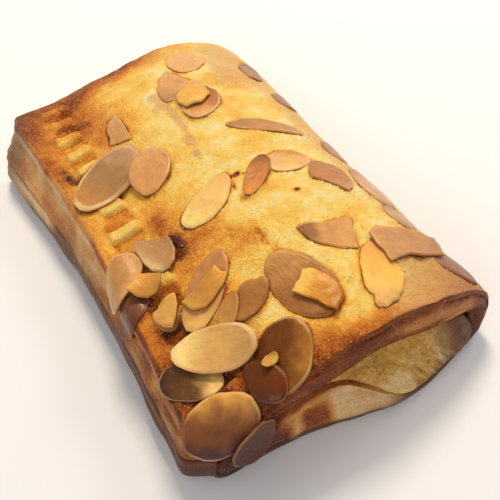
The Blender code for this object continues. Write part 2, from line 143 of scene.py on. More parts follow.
# The crust is one skin of rings round the roll: its outside, the far cut,
# the hollow through it and the near cut.
roll = {
    "nearEnd": -62.0, "farEnd": 69.0,
    "stations": (-62.0, -30.0, 5.0, 40.0, 69.0),
    "sealEdgeX": (-32.2, -31.6, -31.6, -33.2, -36.3),
    "sealZ": (19.4, 20.4, 20.6, 20.8, 21.3),
    "seamX": (-35.8, -35.6, -36.2, -39.4, -43.0),
    "footX": (-37.2, -36.9, -37.5, -41.8, -45.6),
    "crownX": (10.0, 11.0, 12.0, 14.0, 18.0),
    "crownZ": (27.2, 27.8, 27.6, 26.0, 23.6),
    "foldX": (45.2, 44.8, 44.2, 46.0, 46.8),
    "foldZ": (10.0, 10.0, 9.8, 9.0, 7.2),
    "heelX": (38.6, 38.0, 37.4, 39.4, 41.0),
    "seamZ": 10.0, "footZ": 2.4, "sealInnerX": -24.0, "foldSquareness": 1.7,
    "nearCorner": 6.4, "farCorner": 1.6, "cornerDroop": 4.2,
    "lipReach": 6.3, "farLipReach": 3.0, "lipX": 17.0, "lipSpread": 20.0, "lipTop": 15.0,
    "lipLength": 18.0, "cutRound": 1.0,
    "ringSpacing": 0.56,  # along Y
    "edgeRise": 1.6, "wallMargin": 1.0, "footReach": 4.0, "foldDraw": 0.1,
    "grooveTop": ((1.6, 0.0), (0.9, 0.35), (0.2, 0.7)),  # steps in from the seam and up
    "grooveFoot": ((0.2, -0.55), (1.0, -0.25)),
    "swell": 0.9, "swellSize": 13,
}
pressedSide = {"wave": 0.14, "wavePitch": 3.3, "waveDrift": 0.012, "swell": 0.6, "swellSize": 11,
               "leaf": 0.22, "fine": 0.08, "rim": 0.5, "rimShare": 0.10, "outermost": -44.9,
               "upperBow": -0.5, "lowerBow": 0.8}
bars = {"pitch": 10.1, "closing": 0.18, "firstY": 0.8, "x": -22.4, "length": 7.0, "width": 3.6,
        "height": 1.15, "first": -5, "last": 7, "slant": 0.10, "uneven": 0.5, "ragSize": 2.6}
hollow = {"right": 39.6, "turn": 33.0, "midZ": 12.0, "left": -16.0, "creviceEnd": -29.0,
          "creviceGap": 0.9, "sheet": 4.0, "swell": 5.2, "swellX": 15.0, "swellSpread": 16.0,
          "roofSlope": 0.32, "floorZ": 4.6, "floorRise": 12.7, "riseStart": 10.0,
          "mouthStart": 1.5, "mouthDepth": 13.0,
          "rings": (66, 62, 57, 50, 30, 5, -25, -44, -50, -54, -57.5, -60)}
mouth = {  # the near open end, from the pressed side to the fold
    "x": (-16.0, -8.0, 0.0, 4.0, 8.0, 12.0, 16.0, 24.0, 33.0),
    "roof": (17.9, 16.3, 16.2, 16.4, 17.1, 17.2, 16.4, 13.7, 11.8),
    "floor": (17.0, 15.1, 13.2, 11.2, 8.0, 4.8, 2.7, 1.6, 1.4),
}


def curve(places, values, at):
    # a smooth line through the values, held level past its ends
    places, values = np.array(places, float), np.array(values, float)
    at = np.clip(np.asarray(at, float), places[0], places[-1])
    i = np.clip(np.searchsorted(places, at) - 1, 0, len(places) - 2)
    slopes = np.gradient(values, places)
    h = places[i + 1] - places[i]
    t = (at - places[i]) / h
    return ((1 + 2 * t) * (1 - t) ** 2 * values[i] + t * (1 - t) ** 2 * h * slopes[i]
            + t * t * (3 - 2 * t) * values[i + 1] + t * t * (t - 1) * h * slopes[i + 1])


def along(name, y):
    return float(curve(roll["stations"], roll[name], y))


def cornerDraw(y):
    # how far the pressed side's corners are drawn in towards the ends
    near = float(smooth(roll["nearEnd"] + 7, roll["nearEnd"], y))
    far = float(smooth(roll["farEnd"] - 6, roll["farEnd"], y))
    return roll["nearCorner"] * near ** 2 + roll["farCorner"] * far ** 2


def topZ(x, y):
    # the plain rise of the top from the pressed edge to the crown
    seal, crown = along("sealZ", y), along("crownZ", y)
    span = along("crownX", y) - roll["sealInnerX"]
    t = np.clip((x - roll["sealInnerX"]) / span, 0.0, 1.0)
    droop = roll["cornerDroop"] * smooth(roll["nearEnd"] + 11, roll["nearEnd"], y)
    return seal + (crown - seal) * np.sin(t * math.pi / 2) ** 1.2 - droop * smooth(-12, -27, x)


def barY(count):
    # the pressed bars lie closer together towards the far end
    return bars["firstY"] + bars["pitch"] * count - bars["closing"] * count ** 2


def barCount(y):
    root = bars["pitch"] ** 2 - 4 * bars["closing"] * (y - bars["firstY"])
    return (bars["pitch"] - math.sqrt(root)) / (2 * bars["closing"])


def barCover(x, y, soft):
    # how far each point is inside the row of bars, and how far on a bar; no two bars are alike
    count = np.array([barCount(v) for v in np.clip(y, -60, 68)])
    number = np.round(count)
    offX = np.abs(x - bars["x"] - bars["uneven"] * np.sin(2.3 * number))
    offY = y - barY(number) + bars["slant"] * (x - bars["x"])
    rag = perlin(np.column_stack([x, y, 5 * number]), bars["ragSize"])
    offY = np.abs(offY + bars["uneven"] * rag)
    half = bars["length"] / 2 + bars["uneven"] * np.sin(3.7 * number + 1)
    inRow = smooth(half + soft, half - 0.3, offX)
    inRow = inRow * (count > bars["first"] - 0.4) * (count < bars["last"] + 0.4)
    return inRow, smooth(bars["width"] / 2 + 0.5, bars["width"] / 2 - 0.3, offY)


def barRelief(x, y):
    inRow, onBar = barCover(x, np.full(len(x), y), 0.7)
    return inRow * bars["height"] * (1.5 * onBar - 0.5)


def wallX(y, z, xLow, xHigh, t, bow):
    # the pressed side: a soft face with faint leaves of dough, bowed in or out
    side = pressedSide
    broad = side["wave"] * np.sin(2 * math.pi * (z / side["wavePitch"] + side["waveDrift"] * y))
    swell = side["swell"] * perlin([(9, y, v) for v in z], side["swellSize"])
    leaf = perlin([(0, y * 0.4, v * 5) for v in z], 9.0, 4.0)
    fine = perlin([(3, y * 1.2, v * 3) for v in z], 3.4, 8.0)
    rim = side["rim"] * np.exp(-((1 - t) / side["rimShare"]) ** 2) if bow < 0 else 0.0
    x = (xLow + (xHigh - xLow) * t - broad + swell - side["leaf"] * leaf
         - side["fine"] * fine - rim - bow * np.sin(math.pi * t) ** 0.8)
    return np.maximum(x, side["outermost"])


# points along each stretch of the outer line
stretch = {"upperWall": 30, "edge": 7, "top": 84, "fold": 76, "heel": 16, "under": 26, "foot": 5,
           "lowerWall": 24}


def outerLine(y):
    draw = cornerDraw(y)
    edgeX = along("sealEdgeX", y) + draw
    seal = float(topZ(np.array(edgeX), y))
    seamX, footX = along("seamX", y) + draw, along("footX", y) + draw
    crownX, crown = along("crownX", y), along("crownZ", y)
    foldX, foldZ = along("foldX", y) - roll["foldDraw"] * draw, along("foldZ", y)
    heelX = along("heelX", y) - roll["foldDraw"] * draw
    seamZ, rise, margin = roll["seamZ"], roll["edgeRise"], roll["wallMargin"]
    xs, zs = [], []

    def add(x, z):
        xs.append(np.broadcast_to(x, np.shape(z)))
        zs.append(np.asarray(z, float))

    def addGroove(steps):
        steps = np.array(steps)
        add(seamX + steps[:, 0], seamZ + steps[:, 1])

    # out of the groove, up the pressed side and round its edge
    addGroove(roll["grooveTop"])
    t = np.linspace(0, 1, stretch["upperWall"])
    z = seamZ + margin + (seal - rise - seamZ - margin) * t
    add(wallX(y, z, seamX, edgeX, t, pressedSide["upperBow"]), z)
    lastX = xs[-1][-1]
    t = np.linspace(0, 1, stretch["edge"] + 1)[1:]
    add(lastX + (edgeX + rise - lastX) * (1 - np.cos(t * math.pi / 2)) ** 0.9,
        seal - rise + rise * np.sin(t * math.pi / 2))
    # over the top and down the fold
    x = np.linspace(edgeX + rise + 0.5, crownX, stretch["top"], endpoint=False)
    add(x, topZ(x, y))
    turn = np.linspace(0, 0.985, stretch["fold"]) * math.pi / 2
    power = 2 / roll["foldSquareness"]
    add(crownX + (foldX - crownX) * np.sin(turn) ** power,
        foldZ + (crown - foldZ) * np.cos(turn) ** power)
    upperCount = sum(len(v) for v in xs)
    # round the heel, along the underside and up the foot back to the groove
    turn = np.linspace(0, 1, stretch["heel"], endpoint=False) * math.pi / 2
    add(heelX + (foldX - heelX) * np.cos(turn), foldZ * (1 - np.sin(turn)))
    x = np.linspace(heelX, footX + roll["footReach"], stretch["under"])
    add(x, np.zeros_like(x))
    t = np.linspace(0, 1, stretch["foot"] + 1)[1:]
    add(footX + roll["footReach"] - 3.6 * t, 1.9 * t ** 2.2)
    t = np.linspace(0, 1, stretch["lowerWall"])
    z = roll["footZ"] + (seamZ - margin - roll["footZ"]) * t
    add(wallX(y, z, footX, seamX - 0.3, t, pressedSide["lowerBow"]), z)
    addGroove(roll["grooveFoot"])
    x, z = np.concatenate(xs), np.concatenate(zs)
    upper = np.arange(len(x)) < upperCount
    top = upper & (x > edgeX + 1.0) & (z > foldZ - 0.1)
    places = [(a, y, b) for a, b in zip(x[top], z[top])]
    swell = roll["swell"] * perlin(places, roll["swellSize"])
    z[top] += barRelief(x[top], y) + swell + surfaceRelief(places)
    return x, z, upperCount, top


dents = (  # x, y, radius along X, radius along Y, height: swellings and pits of the top
    (-28.9, 34.2, 1.6, 1.6, -0.5), (-28.4, 30.8, 1.6, 2.2, -0.9),  # a pit where syrup gathered
    (-27.2, 27.9, 1.8, 1.5, -0.9), (-25.0, 26.3, 2.0, 1.2, -0.6),
    (-12.6, -14.6, 2.0, 4.2, 0.4), (1.5, -24.0, 6.0, 5.0, -0.35),
    (-4.0, 30.0, 9.0, 10.0, 0.35), (22.0, 36.0, 12.0, 10.0, 0.4), (25.0, -30.0, 9.0, 12.0, 0.35),
    (-13.0, 52.0, 5.0, 6.0, -0.5), (-24.0, 60.0, 4.0, 3.0, 0.5),
)
skin = (  # blisters and wrinkles of the baked sheet: height, size, offset of the noise
    (0.28, 4.6, 11.0), (0.10, 1.7, 17.0), (0.05, 0.8, 23.0),
)
crackWidth = 0.42
cracks = (  # start and end on the top, and depth
    ((7.6, -4.0), (6.6, -14.5), 0.28), ((4.4, -22.7), (4.6, -30.4), 0.32),
    ((4.6, -30.4), (11.9, -44.0), 0.3), ((38.0, 52.0), (42.0, 44.0), 0.3),
)


def crackDepth(p):
    total, wander = np.zeros(len(p)), perlin(p, 2.2, 31.0) * 1.3
    for start, end, depth in cracks:
        a, b = np.array(start), np.array(end)
        run = b - a
        t = np.clip(((p[:, :2] - a) @ run) / (run @ run), 0, 1)
        gap = np.linalg.norm(p[:, :2] - (a + t[:, None] * run), axis=1) + wander
        total += depth * smooth(0, 0.1, t) * smooth(1, 0.9, t) * np.exp(-(gap / crackWidth) ** 2)
    return total


def surfaceRelief(places):
    p = np.array(places)
    relief = sum(height * perlin(places, size, offset) for height, size, offset in skin)
    for x, y, rx, ry, height in dents:
        relief += height * np.exp(-((p[:, 0] - x) / rx) ** 2 - ((p[:, 1] - y) / ry) ** 2)
    return relief - crackDepth(p)


def atMouth(y):
    # 1 at the near open end, 0 where the hollow has its plain shape
    return float(smooth(roll["nearEnd"] + hollow["mouthDepth"],
                        roll["nearEnd"] + hollow["mouthStart"], y))


def hollowLine(x, y, side):
    # height of the hollow's roof or floor; past its left end the two pinch to a crevice
    core = np.clip(x, hollow["left"], hollow["turn"])
    crownX = along("crownX", y)
    swell = hollow["swell"] * np.exp(-((core - hollow["swellX"]) / hollow["swellSpread"]) ** 2)
    roof = topZ(core, y) - hollow["sheet"] - swell
    roof = roof - hollow["roofSlope"] * np.maximum(core - crownX, 0)
    fall = along("crownZ", y) - roll["crownZ"][0]
    rise = np.clip((hollow["riseStart"] - core) / (hollow["riseStart"] - hollow["left"]), 0, None)
    floor = hollow["floorZ"] + (hollow["floorRise"] + 0.3 * fall) * rise ** 1.3
    roof = mix(roof, curve(mouth["x"], mouth["roof"], core), atMouth(y))
    floor = mix(floor, curve(mouth["x"], mouth["floor"], core), atMouth(y))
    bend = np.clip((x - hollow["turn"]) / (hollow["right"] - hollow["turn"]), 0, 1)
    middle = np.minimum(hollow["midZ"], roof - 2.5)
    roof = np.where(bend > 0, middle + (roof - middle) * np.sqrt(1 - bend ** 2), roof)
    floor = np.where(bend > 0, middle - (middle - floor) * (1 - bend ** 3) ** (1 / 3), floor)
    t = np.clip((hollow["left"] - x) / (hollow["left"] - hollow["creviceEnd"]), 0, 1)
    roof = np.where(x < hollow["left"], roof + (roll["seamZ"] + 0.6 - roof) * t, roof)
    floor = np.where(x < hollow["left"], roof - hollow["creviceGap"] * (1 - 0.6 * t), floor)
    return roof if side > 0 else floor


def hollowRing(y, outerX, upperCount):
    # the hollow point for point with the outer line, so that the dough's layers run parallel
    near, far = roll["nearEnd"], roll["farEnd"]
    openEnd = max(float(smooth(near + 9, near + 2, y)), float(smooth(far - 9, far - 2, y)))
    tip = hollow["left"] - 1.5 + (hollow["creviceEnd"] - hollow["left"] + 1.5) * openEnd
    right = hollow["right"] - 0.01

    def inner(x, count, fromHeel):
        low, high = min(x.min(), -34.0), x.max()
        t = (x - low) / (high - low)
        stations = tip + (right - tip) * np.clip(t, 0, 1) ** 1.02
        rank = np.linspace(0, 1, count) * 0.02 - 0.01  # keeps the order where the wall is steep
        return np.clip(stations + (rank if not fromHeel else -rank), tip, right)

    top = np.maximum.accumulate(inner(outerX[:upperCount], upperCount, False))
    under = np.minimum.accumulate(inner(outerX[upperCount:], len(outerX) - upperCount, True))
    x = np.concatenate([top, under])
    z = np.concatenate([hollowLine(top, y, 1), hollowLine(under, y, -1)])
    return x, z


def reach(x, y, z):
    # how far the lower lip of each open end stands out along the roll
    bell = np.exp(-((x - roll["lipX"]) / roll["lipSpread"]) ** 2)
    bell = bell * (1 - smooth(2.5, roll["lipTop"], z))
    near = smooth(roll["nearEnd"] + roll["lipLength"], roll["nearEnd"], y)
    far = smooth(roll["farEnd"] - roll["lipLength"], roll["farEnd"], y)
    return bell * (roll["farLipReach"] * far - roll["lipReach"] * near)


def ringFaces(first, second, count):
    # the band of faces between two rings of as many points
    return [(first + i, first + (i + 1) % count, second + (i + 1) % count, second + i)
            for i in range(count)]


cutEdge = {
    "shares": np.concatenate([[0.012, 0.035], np.linspace(0.07, 0.93, 22), [0.97]]),
    "groove": 0.19, "grooveDepth": 0.75,  # the skin stands clear of the leaves under it
    "grooveWidth": 0.045, "grooveWander": 0.05, "leafDepth": 0.16, "leaves": 7.0,
    "leafWander": 0.7, "rough": 0.55, "fine": 0.12,
}


def cutRings(y, direction, outer, inner):
    # the cut end of the dough: a thin skin, a groove, then rolled leaves swollen into a bead
    rings = []
    span = np.hypot(outer[0] - inner[0], outer[1] - inner[1])
    thick = np.minimum(span / 5, 1)
    broad = cutEdge["rough"] * perlin([(a, 5.0, b) for a, b in zip(*outer)], 5.0)
    for share in cutEdge["shares"]:
        x, z = mix(outer[0], inner[0], share), mix(outer[1], inner[1], share)
        places = [(a, direction * 40, b) for a, b in zip(x, z)]
        shift = cutEdge["leafWander"] * perlin(places, 9.0, 3.0)
        leaf = np.abs(((share * cutEdge["leaves"] + shift) % 1.0) - 0.5) * 2
        bulge = roll["cutRound"] * math.sin(math.pi * min(share * 1.15, 1.0)) ** 0.6
        off = share - cutEdge["groove"] - cutEdge["grooveWander"] * shift
        groove = np.exp(-(off / cutEdge["grooveWidth"]) ** 2)
        fine = cutEdge["fine"] * perlin(places, 1.6, 6.0)
        out = bulge + broad * (1 - share) - (cutEdge["leafDepth"] * leaf
                                             + cutEdge["grooveDepth"] * groove) * thick
        fade = min(share / 0.07, 1.0) * min((1 - share) / 0.05, 1.0)
        out = out * mix(0.45, 1.0, fade) + fine * fade
        rings.append((x, y + direction * out * thick + reach(x, y, z), z, share))
    return rings


def makeCrust():
    # zone: 0 top, 1 sides and underside, 2 cut ends, 3 hollow; share: how far in across a cut end
    near, far = roll["nearEnd"], roll["farEnd"]
    count = int(round((far - near) / roll["ringSpacing"]))
    ys = [near + (far - near) * i / count for i in range(count + 1)]
    rings, zone, share, lines = [], [], [], []
    for y in ys:
        x, z, upperCount, top = outerLine(y)
        lines.append((x, z))
        rings.append(np.column_stack([x, y + reach(x, y, z), z]))
        zone.append(np.where(top, 0.0, 1.0))
        share.append(np.zeros(len(x)))
    n = len(lines[0][0])

    def addCut(y, direction, outer, reverse):
        inner = hollowRing(y, outer[0], upperCount)
        made = cutRings(y, direction, outer, inner)
        for x, py, z, part in made[::-1] if reverse else made:
            rings.append(np.column_stack([x, py, z]))
            zone.append(np.full(n, 2.0))
            share.append(np.full(n, part))

    addCut(far, 1, lines[-1], False)
    for y in (far, *hollow["rings"], near):
        x, z = hollowRing(y, lines[0][0], upperCount)
        rings.append(np.column_stack([x, y + reach(x, y, z), z]))
        zone.append(np.full(n, 3.0))
        share.append(np.ones(n))
    addCut(near, -1, lines[0], True)
    faces = []
    for i in range(len(rings)):
        faces += ringFaces(i * n, (i + 1) % len(rings) * n, n)
    return np.concatenate(rings), faces, np.concatenate(zone), np.concatenate(share)


crustPoints, crustFaces, crustZone, crustShare = makeCrust()
print("crust shaped:", len(crustPoints), "points")


# The sliced almonds: place, turn of the long axis, length, width, narrowing of the + end, sideways
# bow, curl; breaks as (facing, distance) and dents as (facing, half width, depth); then what shows:
# colours from the start to the end of a run across the slice, the way that run heads, how broad the
# pale rim is and how wet with syrup it is
sliceFields = ("x", "y", "turn", "long", "wide", "tip", "bow", "curl", "breaks", "dents",
               "start", "middle", "end", "heading", "rim", "syrup")
slices = (
    (-9.5, 35.5, 75, 17.5, 9.5, 0.60, 0.0, 0.3, ((158, 4.5),), (),
     "#D9A56C", "#CD9860", "#D8A574", 61, 0.4, 0.0),
    (-19.0, 20.5, 25, 24.5, 15.0, -0.15, 0.0, 0.4, (), (),
     "#C98A48", "#A97F54", "#C9A07A", 20, 1.2, 0.0),
    (-8.0, 13.0, 55, 16.0, 12.0, 0.00, 0.0, 0.2, (), ((150, 20, 0.05),),
     "#DDA066", "#D69B62", "#DBA168", 61, 0.3, 0.0),
    (-0.5, -7.5, 25, 19.0, 10.5, 0.30, 1.4, 0.2, (), (),
     "#FFDD86", "#F2C274", "#E2AC65", 20, 0.4, 0.0),
    (22.5, 55.0, -110, 15.0, 13.5, 0.10, 0.0, 0.1, (), ((60, 20, 0.1),),
     "#E3AC72", "#E3AC72", "#E6B47C", 61, 0.2, 0.0),
    (13.5, 43.8, 70, 20.0, 11.0, 0.00, 0.0, 0.2, ((-50, 4.6), (-165, 8.6)), (),
     "#B98759", "#D7A067", "#D9A56C", 61, 0.3, 0.0),
    (15.8, 29.6, -115, 16.5, 12.5, 0.10, 0.0, 0.2, (), (),
     "#E4AA6C", "#B2733D", "#9C6032", 61, 0.8, 0.0),
    (14.5, 31.8, 65, 15.5, 11.5, 0.10, 0.0, 0.5, ((-168, 5.6), (100, 4.5)), (),
     "#F6C768", "#EAAF58", "#DDA25A", 61, 0.2, 0.0),
    (27.0, 10.5, -25, 23.0, 7.5, 0.30, 0.0, 0.0, (), ((150, 12, 0.15),),
     "#A97548", "#C48E58", "#C8965E", -36, 0.3, 0.0),
    (24.0, -6.5, -5, 13.5, 9.5, 0.10, 0.0, 0.1, (), (),
     "#F2C885", "#EBB775", "#CF8F50", 61, 0.3, 0.0),
    (13.5, -8.5, -135, 16.0, 7.0, 0.35, 0.0, 0.3, ((0, 7.5),), (),
     "#DC8E34", "#BE7636", "#854822", 61, 0.2, 0.1),
    (30.2, -17.0, -55, 14.5, 10.5, 0.30, 0.0, 0.2, ((25, 5.2), (-150, 5.2)), (),
     "#CC9868", "#BA8052", "#B08254", 61, 0.2, 0.0),
    (40.8, -21.5, -88, 18.0, 10.5, 0.10, 0.0, 0.0, (), (),
     "#B58460", "#D2A47C", "#AC7A5A", 61, 0.3, 0.0),
    (39.3, -35.0, -75, 11.0, 7.5, 0.10, 0.0, 0.0, (), (),
     "#B48664", "#CC9E76", "#A07258", 61, 0.3, 0.0),
    (20.5, -51.5, 65, 19.5, 10.5, 0.45, 0.0, 0.3, ((100, 4.0),), (),
     "#CFA06A", "#F6BE5C", "#E6A659", 61, 0.2, 0.0),
    (40.2, -54.0, -60, 12.5, 8.0, 0.20, 0.0, 0.0, (), (),
     "#9C6B55", "#94644E", "#8A5C4A", -36, 0.2, 0.0),
    (32.5, -46.0, -8, 23.5, 13.0, 0.35, 0.0, 0.4, ((-175, 9.5),), (),
     "#D09A66", "#C89260", "#B0805A", -36, 0.2, 0.0),
    (18.5, -35.0, 140, 17.0, 13.5, 0.75, 0.0, 0.4, ((-155, 5.5),), (),
     "#6E3E22", "#CF9557", "#DDA768", -36, 0.3, 0.0),
    (5.0, -43.5, 100, 21.5, 13.5, 0.10, 0.0, 0.3, (), ((195, 12, 0.08),),
     "#8C5828", "#A8703C", "#C89456", 97, 0.2, 0.0),
    (6.5, -49.0, -70, 13.5, 8.5, 0.10, 0.0, 0.6, ((-165, 5.0), (-75, 3.0), (37, 5.2)), (),
     "#F9C864", "#D08A2A", "#A86412", -60, 0.1, 0.0),
    (-7.5, -55.5, 40, 17.4, 14.0, 0.10, 0.0, 0.4, (), (),
     "#5A2C0E", "#703C14", "#AE7630", -35, 0.4, 0.2),
    (-13.0, -58.0, 115, 11.0, 8.5, 0.10, 0.0, 0.2, (), ((40, 20, 0.1),),
     "#58260A", "#6E330C", "#602C0E", 61, 0.0, 0.6),
    (-9.6, -55.2, 20, 3.8, 3.2, 0.10, 0.0, 0.1, (), ((60, 20, 0.2),),
     "#C99A45", "#CFA04A", "#B98640", 61, 0.0, 0.0),
    (-31.5, -23.5, 15, 11.5, 8.0, 0.10, 0.0, 0.0, (), (),
     "#5E382A", "#734633", "#7C4E3A", 61, 0.1, 0.35),
    (-29.5, -14.0, 40, 16.0, 11.0, 0.15, 0.0, 0.3, (), (),
     "#D8AA70", "#C08C54", "#CE9C64", -36, 0.6, 0.0),
    (-24.5, -21.0, -45, 9.5, 7.5, 0.10, 0.0, 0.3, ((105, 3.1), (12, 4.0), (-103, 2.8)), (),
     "#E3A852", "#D29647", "#B98350", -36, 0.1, 0.0),
    (-18.5, -12.5, -65, 14.5, 10.0, -0.10, 0.0, 0.4, ((120, 4.0),), (),
     "#FFE2A2", "#C0905E", "#AE7E54", 20, 0.4, 0.0),
    (-23.5, -31.0, 15, 6.5, 5.5, 0.20, 0.0, 0.1, (), (),
     "#B5804C", "#AE7745", "#A87040", 61, 0.2, 0.0),
    (-23.5, -28.8, 38, 11.5, 6.4, 0.00, 0.0, 0.3, ((118, 2.4), (180, 4.6)), (),
     "#CE9850", "#D9A458", "#EFBC66", 61, 0.3, 0.0),
    (-13.0, -30.5, 40, 21.5, 10.0, 0.10, 0.0, 0.2, (), (),
     "#E9BA6C", "#C58A52", "#C48850", 61, 0.2, 0.0),
    (-13.0, -32.5, 22, 16.0, 6.5, 0.10, 0.0, 0.4, ((14, 6.0), (-150, 5.5), (100, 2.5)), (),
     "#E2AA52", "#C48A42", "#E5A54B", 20, 0.2, 0.0),
    (-6.5, -39.5, 20, 12.5, 8.0, 0.10, 0.0, 0.2, ((125, 2.4),), ((30, 16, 0.15),),
     "#AF7A44", "#A36A36", "#B98348", 61, 0.2, 0.1),
    (-11.0, -39.0, 44, 8.9, 6.0, 0.20, 0.0, 0.1, (), (),
     "#D09A58", "#C48E4E", "#BC8445", 61, 0.2, 0.1),
    (-26.5, -47.5, -35, 15.0, 9.5, 0.10, 0.0, 0.2, (), (),
     "#4A2818", "#66401F", "#FACD7C", -36, 0.3, 0.8),
    (-18.0, -45.0, 150, 20.5, 12.0, 0.10, 0.0, 0.3, (), (),
     "#FFE091", "#D7A765", "#C89A62", -36, 1.3, 0.0),
    # its dark purple start, low where it bends down over the corner, is painted shade
    (-24.6, -58.0, 5, 18.5, 14.0, 0.15, 0.0, -0.3, (), ((150, 14, 0.06),),
     "#43293A", "#8A5230", "#F2B25A", 61, 0.4, 0.0),
    (42.3, 26.3, 75, 12.5, 9.0, 0.10, 0.0, 0.0, (), (),
     "#7C5040", "#94644A", "#835644", 61, 0.2, 0.0),
    (41.0, 46.4, 75, 13.5, 8.0, 0.10, 0.0, 0.0, (), (),
     "#94664C", "#A67854", "#8C6048", 61, 0.2, 0.0),
    (41.2, -2.9, 80, 12.0, 7.5, 0.10, 0.0, 0.0, (), (),
     "#9C6E50", "#AC7E5A", "#90644C", 61, 0.2, 0.0),
)
endSlices = (  # on the cut end; here y is the height above the table
    # its dark purple browns are partly its toast and partly painted shade of the cut end
    (-21.0, 13.2, 50, 14.5, 9.5, 0.10, 0.0, 0.1, (), (),
     "#4E2C24", "#542E22", "#663C2A", 61, 0.2, 0.0),
)
brokenEdges = {  # corners of the broken slices, round each in its own plane
    1: ((9.3, -0.5), (6.1, -1.6), (1.2, -2.8), (-4.4, -4.0), (-3.6, -0.4), (-2.4, 3.5), (0.8, 3.0),
        (4.2, 3.6), (7.2, 2.2)),
    8: ((1.8, 5.2), (4.0, 4.2), (8.6, 0.8), (9.6, -1.6), (3.6, -3.9), (0.0, -5.5), (-4.2, -3.0),
        (-5.0, 2.0), (-1.6, 4.6)),
    12: ((-7.2, 3.2), (-5.0, 5.0), (-1.9, 5.8), (1.8, 6.0), (4.8, 3.2), (7.2, -1.4), (6.4, -3.4),
         (3.0, -3.3), (-0.5, -3.4), (-3.8, -4.0), (-5.9, -0.8)),
    15: ((8.8, 2.6), (11.5, -0.3), (9.4, -2.6), (5.5, -4.0), (3.4, -5.4), (0.6, -5.8),
         (-3.7, -4.3), (-6.8, -2.2), (-8.6, 0.6), (-8.6, 2.2), (-7.2, 2.9), (-5.5, 2.7),
         (-4.1, 3.5), (-2.6, 4.1), (1.0, 4.1), (5.2, 3.8)),
    17: ((-8.8, 4.9), (-6.0, 6.6), (0.4, 6.5), (6.6, 4.8), (9.8, 2.2), (7.9, -4.1), (4.7, -3.9),
         (1.7, -3.7), (-1.4, -2.8), (-3.9, -3.4), (-8.0, -4.6), (-8.4, -0.6), (-8.9, 2.3)),
    18: ((8.3, 0.2), (5.3, -2.0), (2.2, -2.8), (-0.4, -4.6), (-3.4, -6.4), (-4.6, -5.0),
         (-5.0, -3.2), (-6.0, -0.4), (-6.8, 3.4), (-3.5, 4.2), (1.0, 4.2), (4.6, 3.4)),
    20: ((-6.8, 2.6), (-5.8, 4.0), (-1.4, 5.0), (2.5, 4.1), (4.8, 2.0), (5.4, -1.4), (3.1, -1.9),
         (0.5, -1.8), (-2.4, -2.4), (-5.8, -3.0), (-6.0, -0.1)),
    26: ((-4.3, 3.6), (2.3, 4.0), (3.2, 1.7), (2.9, -0.8), (0.8, -2.4), (-1.6, -2.8), (-4.4, -2.0),
         (-3.9, 0.5)),
    27: ((-7.6, -0.8), (-7.2, 0.8), (-4.8, 2.3), (-3.2, 4.0), (-1.2, 3.2), (-1.0, 5.8), (0.9, 5.4),
         (4.4, 3.4), (6.5, 0.7), (6.7, -1.6), (5.1, -3.6), (2.2, -4.2), (-1.0, -3.6),
         (-4.1, -2.4)),
    29: ((4.8, 1.7), (5.1, -0.3), (1.9, -3.1), (-1.2, -4.0), (-4.0, -4.4), (-4.6, -2.4),
         (-3.6, 1.0), (-1.6, 2.6), (-0.4, 1.8), (1.5, 2.6), (3.1, 2.6)),
    31: ((7.1, 2.9), (6.3, 0.6), (6.9, -1.0), (4.2, -1.9), (-0.5, -2.1), (-3.0, -1.6), (-5.2, 1.1),
         (-4.8, 4.8), (0.3, 3.5)),
}
sliceShape = {
    "sides": 84, "shares": (0.0, 0.16, 0.32, 0.46, 0.58, 0.69, 0.78, 0.85, 0.90, 0.94, 0.975, 1.0),
    "thick": 0.75, "stiffness": 0.004, "sink": 0.5, "gap": 0.06,
    "thinFrom": 0.91, "thinning": 0.40,  # towards the rim
    "bend": 0.20, "bendSize": 5.0, "dimple": 0.08, "dimpleSize": 2.0,
    "ragged": ((0.04, 2.5), (0.016, 6)),  # depth and number of the waves in the outline
    "breakRag": 0.3, "breakGrain": 1.3, "cornerRag": 0.05, "cornerGrain": 1.6,
    "probe": 25.0, "around": 24,  # how its bed is felt out: from what height, at how many angles
}
rayHeight = 60.0


def brokenOutline(corners, share):
    # the point at a share of the way round the corners, pushed about a little by the break's grain
    corners = np.array(corners)
    runs = np.roll(corners, -1, axis=0) - corners
    reached = np.concatenate([[0.0], np.cumsum(np.hypot(*runs.T))])
    walked = share % 1.0 * reached[-1]
    i = min(int(np.searchsorted(reached, walked, "right")) - 1, len(corners) - 1)
    x, y = corners[i] + runs[i] * (walked - reached[i]) / (reached[i + 1] - reached[i])
    size = sliceShape["cornerGrain"]
    grain = 1 + sliceShape["cornerRag"] * noise.noise(Vector((x / size, y / size, reached[-1])))
    return float(x) * grain, float(y) * grain


def sliceOutline(item, angle, ragged=True):
    if ragged and item["number"] in brokenEdges:
        return brokenOutline(brokenEdges[item["number"]], angle / (2 * math.pi))
    x = item["long"] / 2 * math.cos(angle)
    y = item["wide"] / 2 * math.sin(angle) * (1 - item["tip"] * (1 + math.cos(angle)) / 2)
    y += item["bow"] * ((2 * x / item["long"]) ** 2 - 0.4)
    scale = 1.0
    if ragged:
        for facing, width, depth in item["dents"]:
            off = (math.degrees(angle) - facing + 180) % 360 - 180
            scale -= depth * max(1 - abs(off) / (1.8 * width), 0)
        spot = Vector((math.cos(angle), math.sin(angle), 0))
        place = Vector((0, 0, item["turn"]))
        scale += sum(depth * noise.noise(spot * waves + place)
                     for depth, waves in sliceShape["ragged"])
    for facing, distance in item["breaks"]:
        way = math.cos(math.radians(facing)), math.sin(math.radians(facing))
        reached = x * way[0] + y * way[1]
        if ragged:
            side = x * way[1] - y * way[0]
            spot = Vector((side / sliceShape["breakGrain"], facing, item["x"]))
            distance += sliceShape["breakRag"] * noise.noise(spot)
        if reached > distance:
            x, y = x * distance / reached, y * distance / reached
    return x * scale, y * scale


def outlineOf(item, count, ragged=True):
    return [sliceOutline(item, 2 * math.pi * i / count, ragged) for i in range(count)]


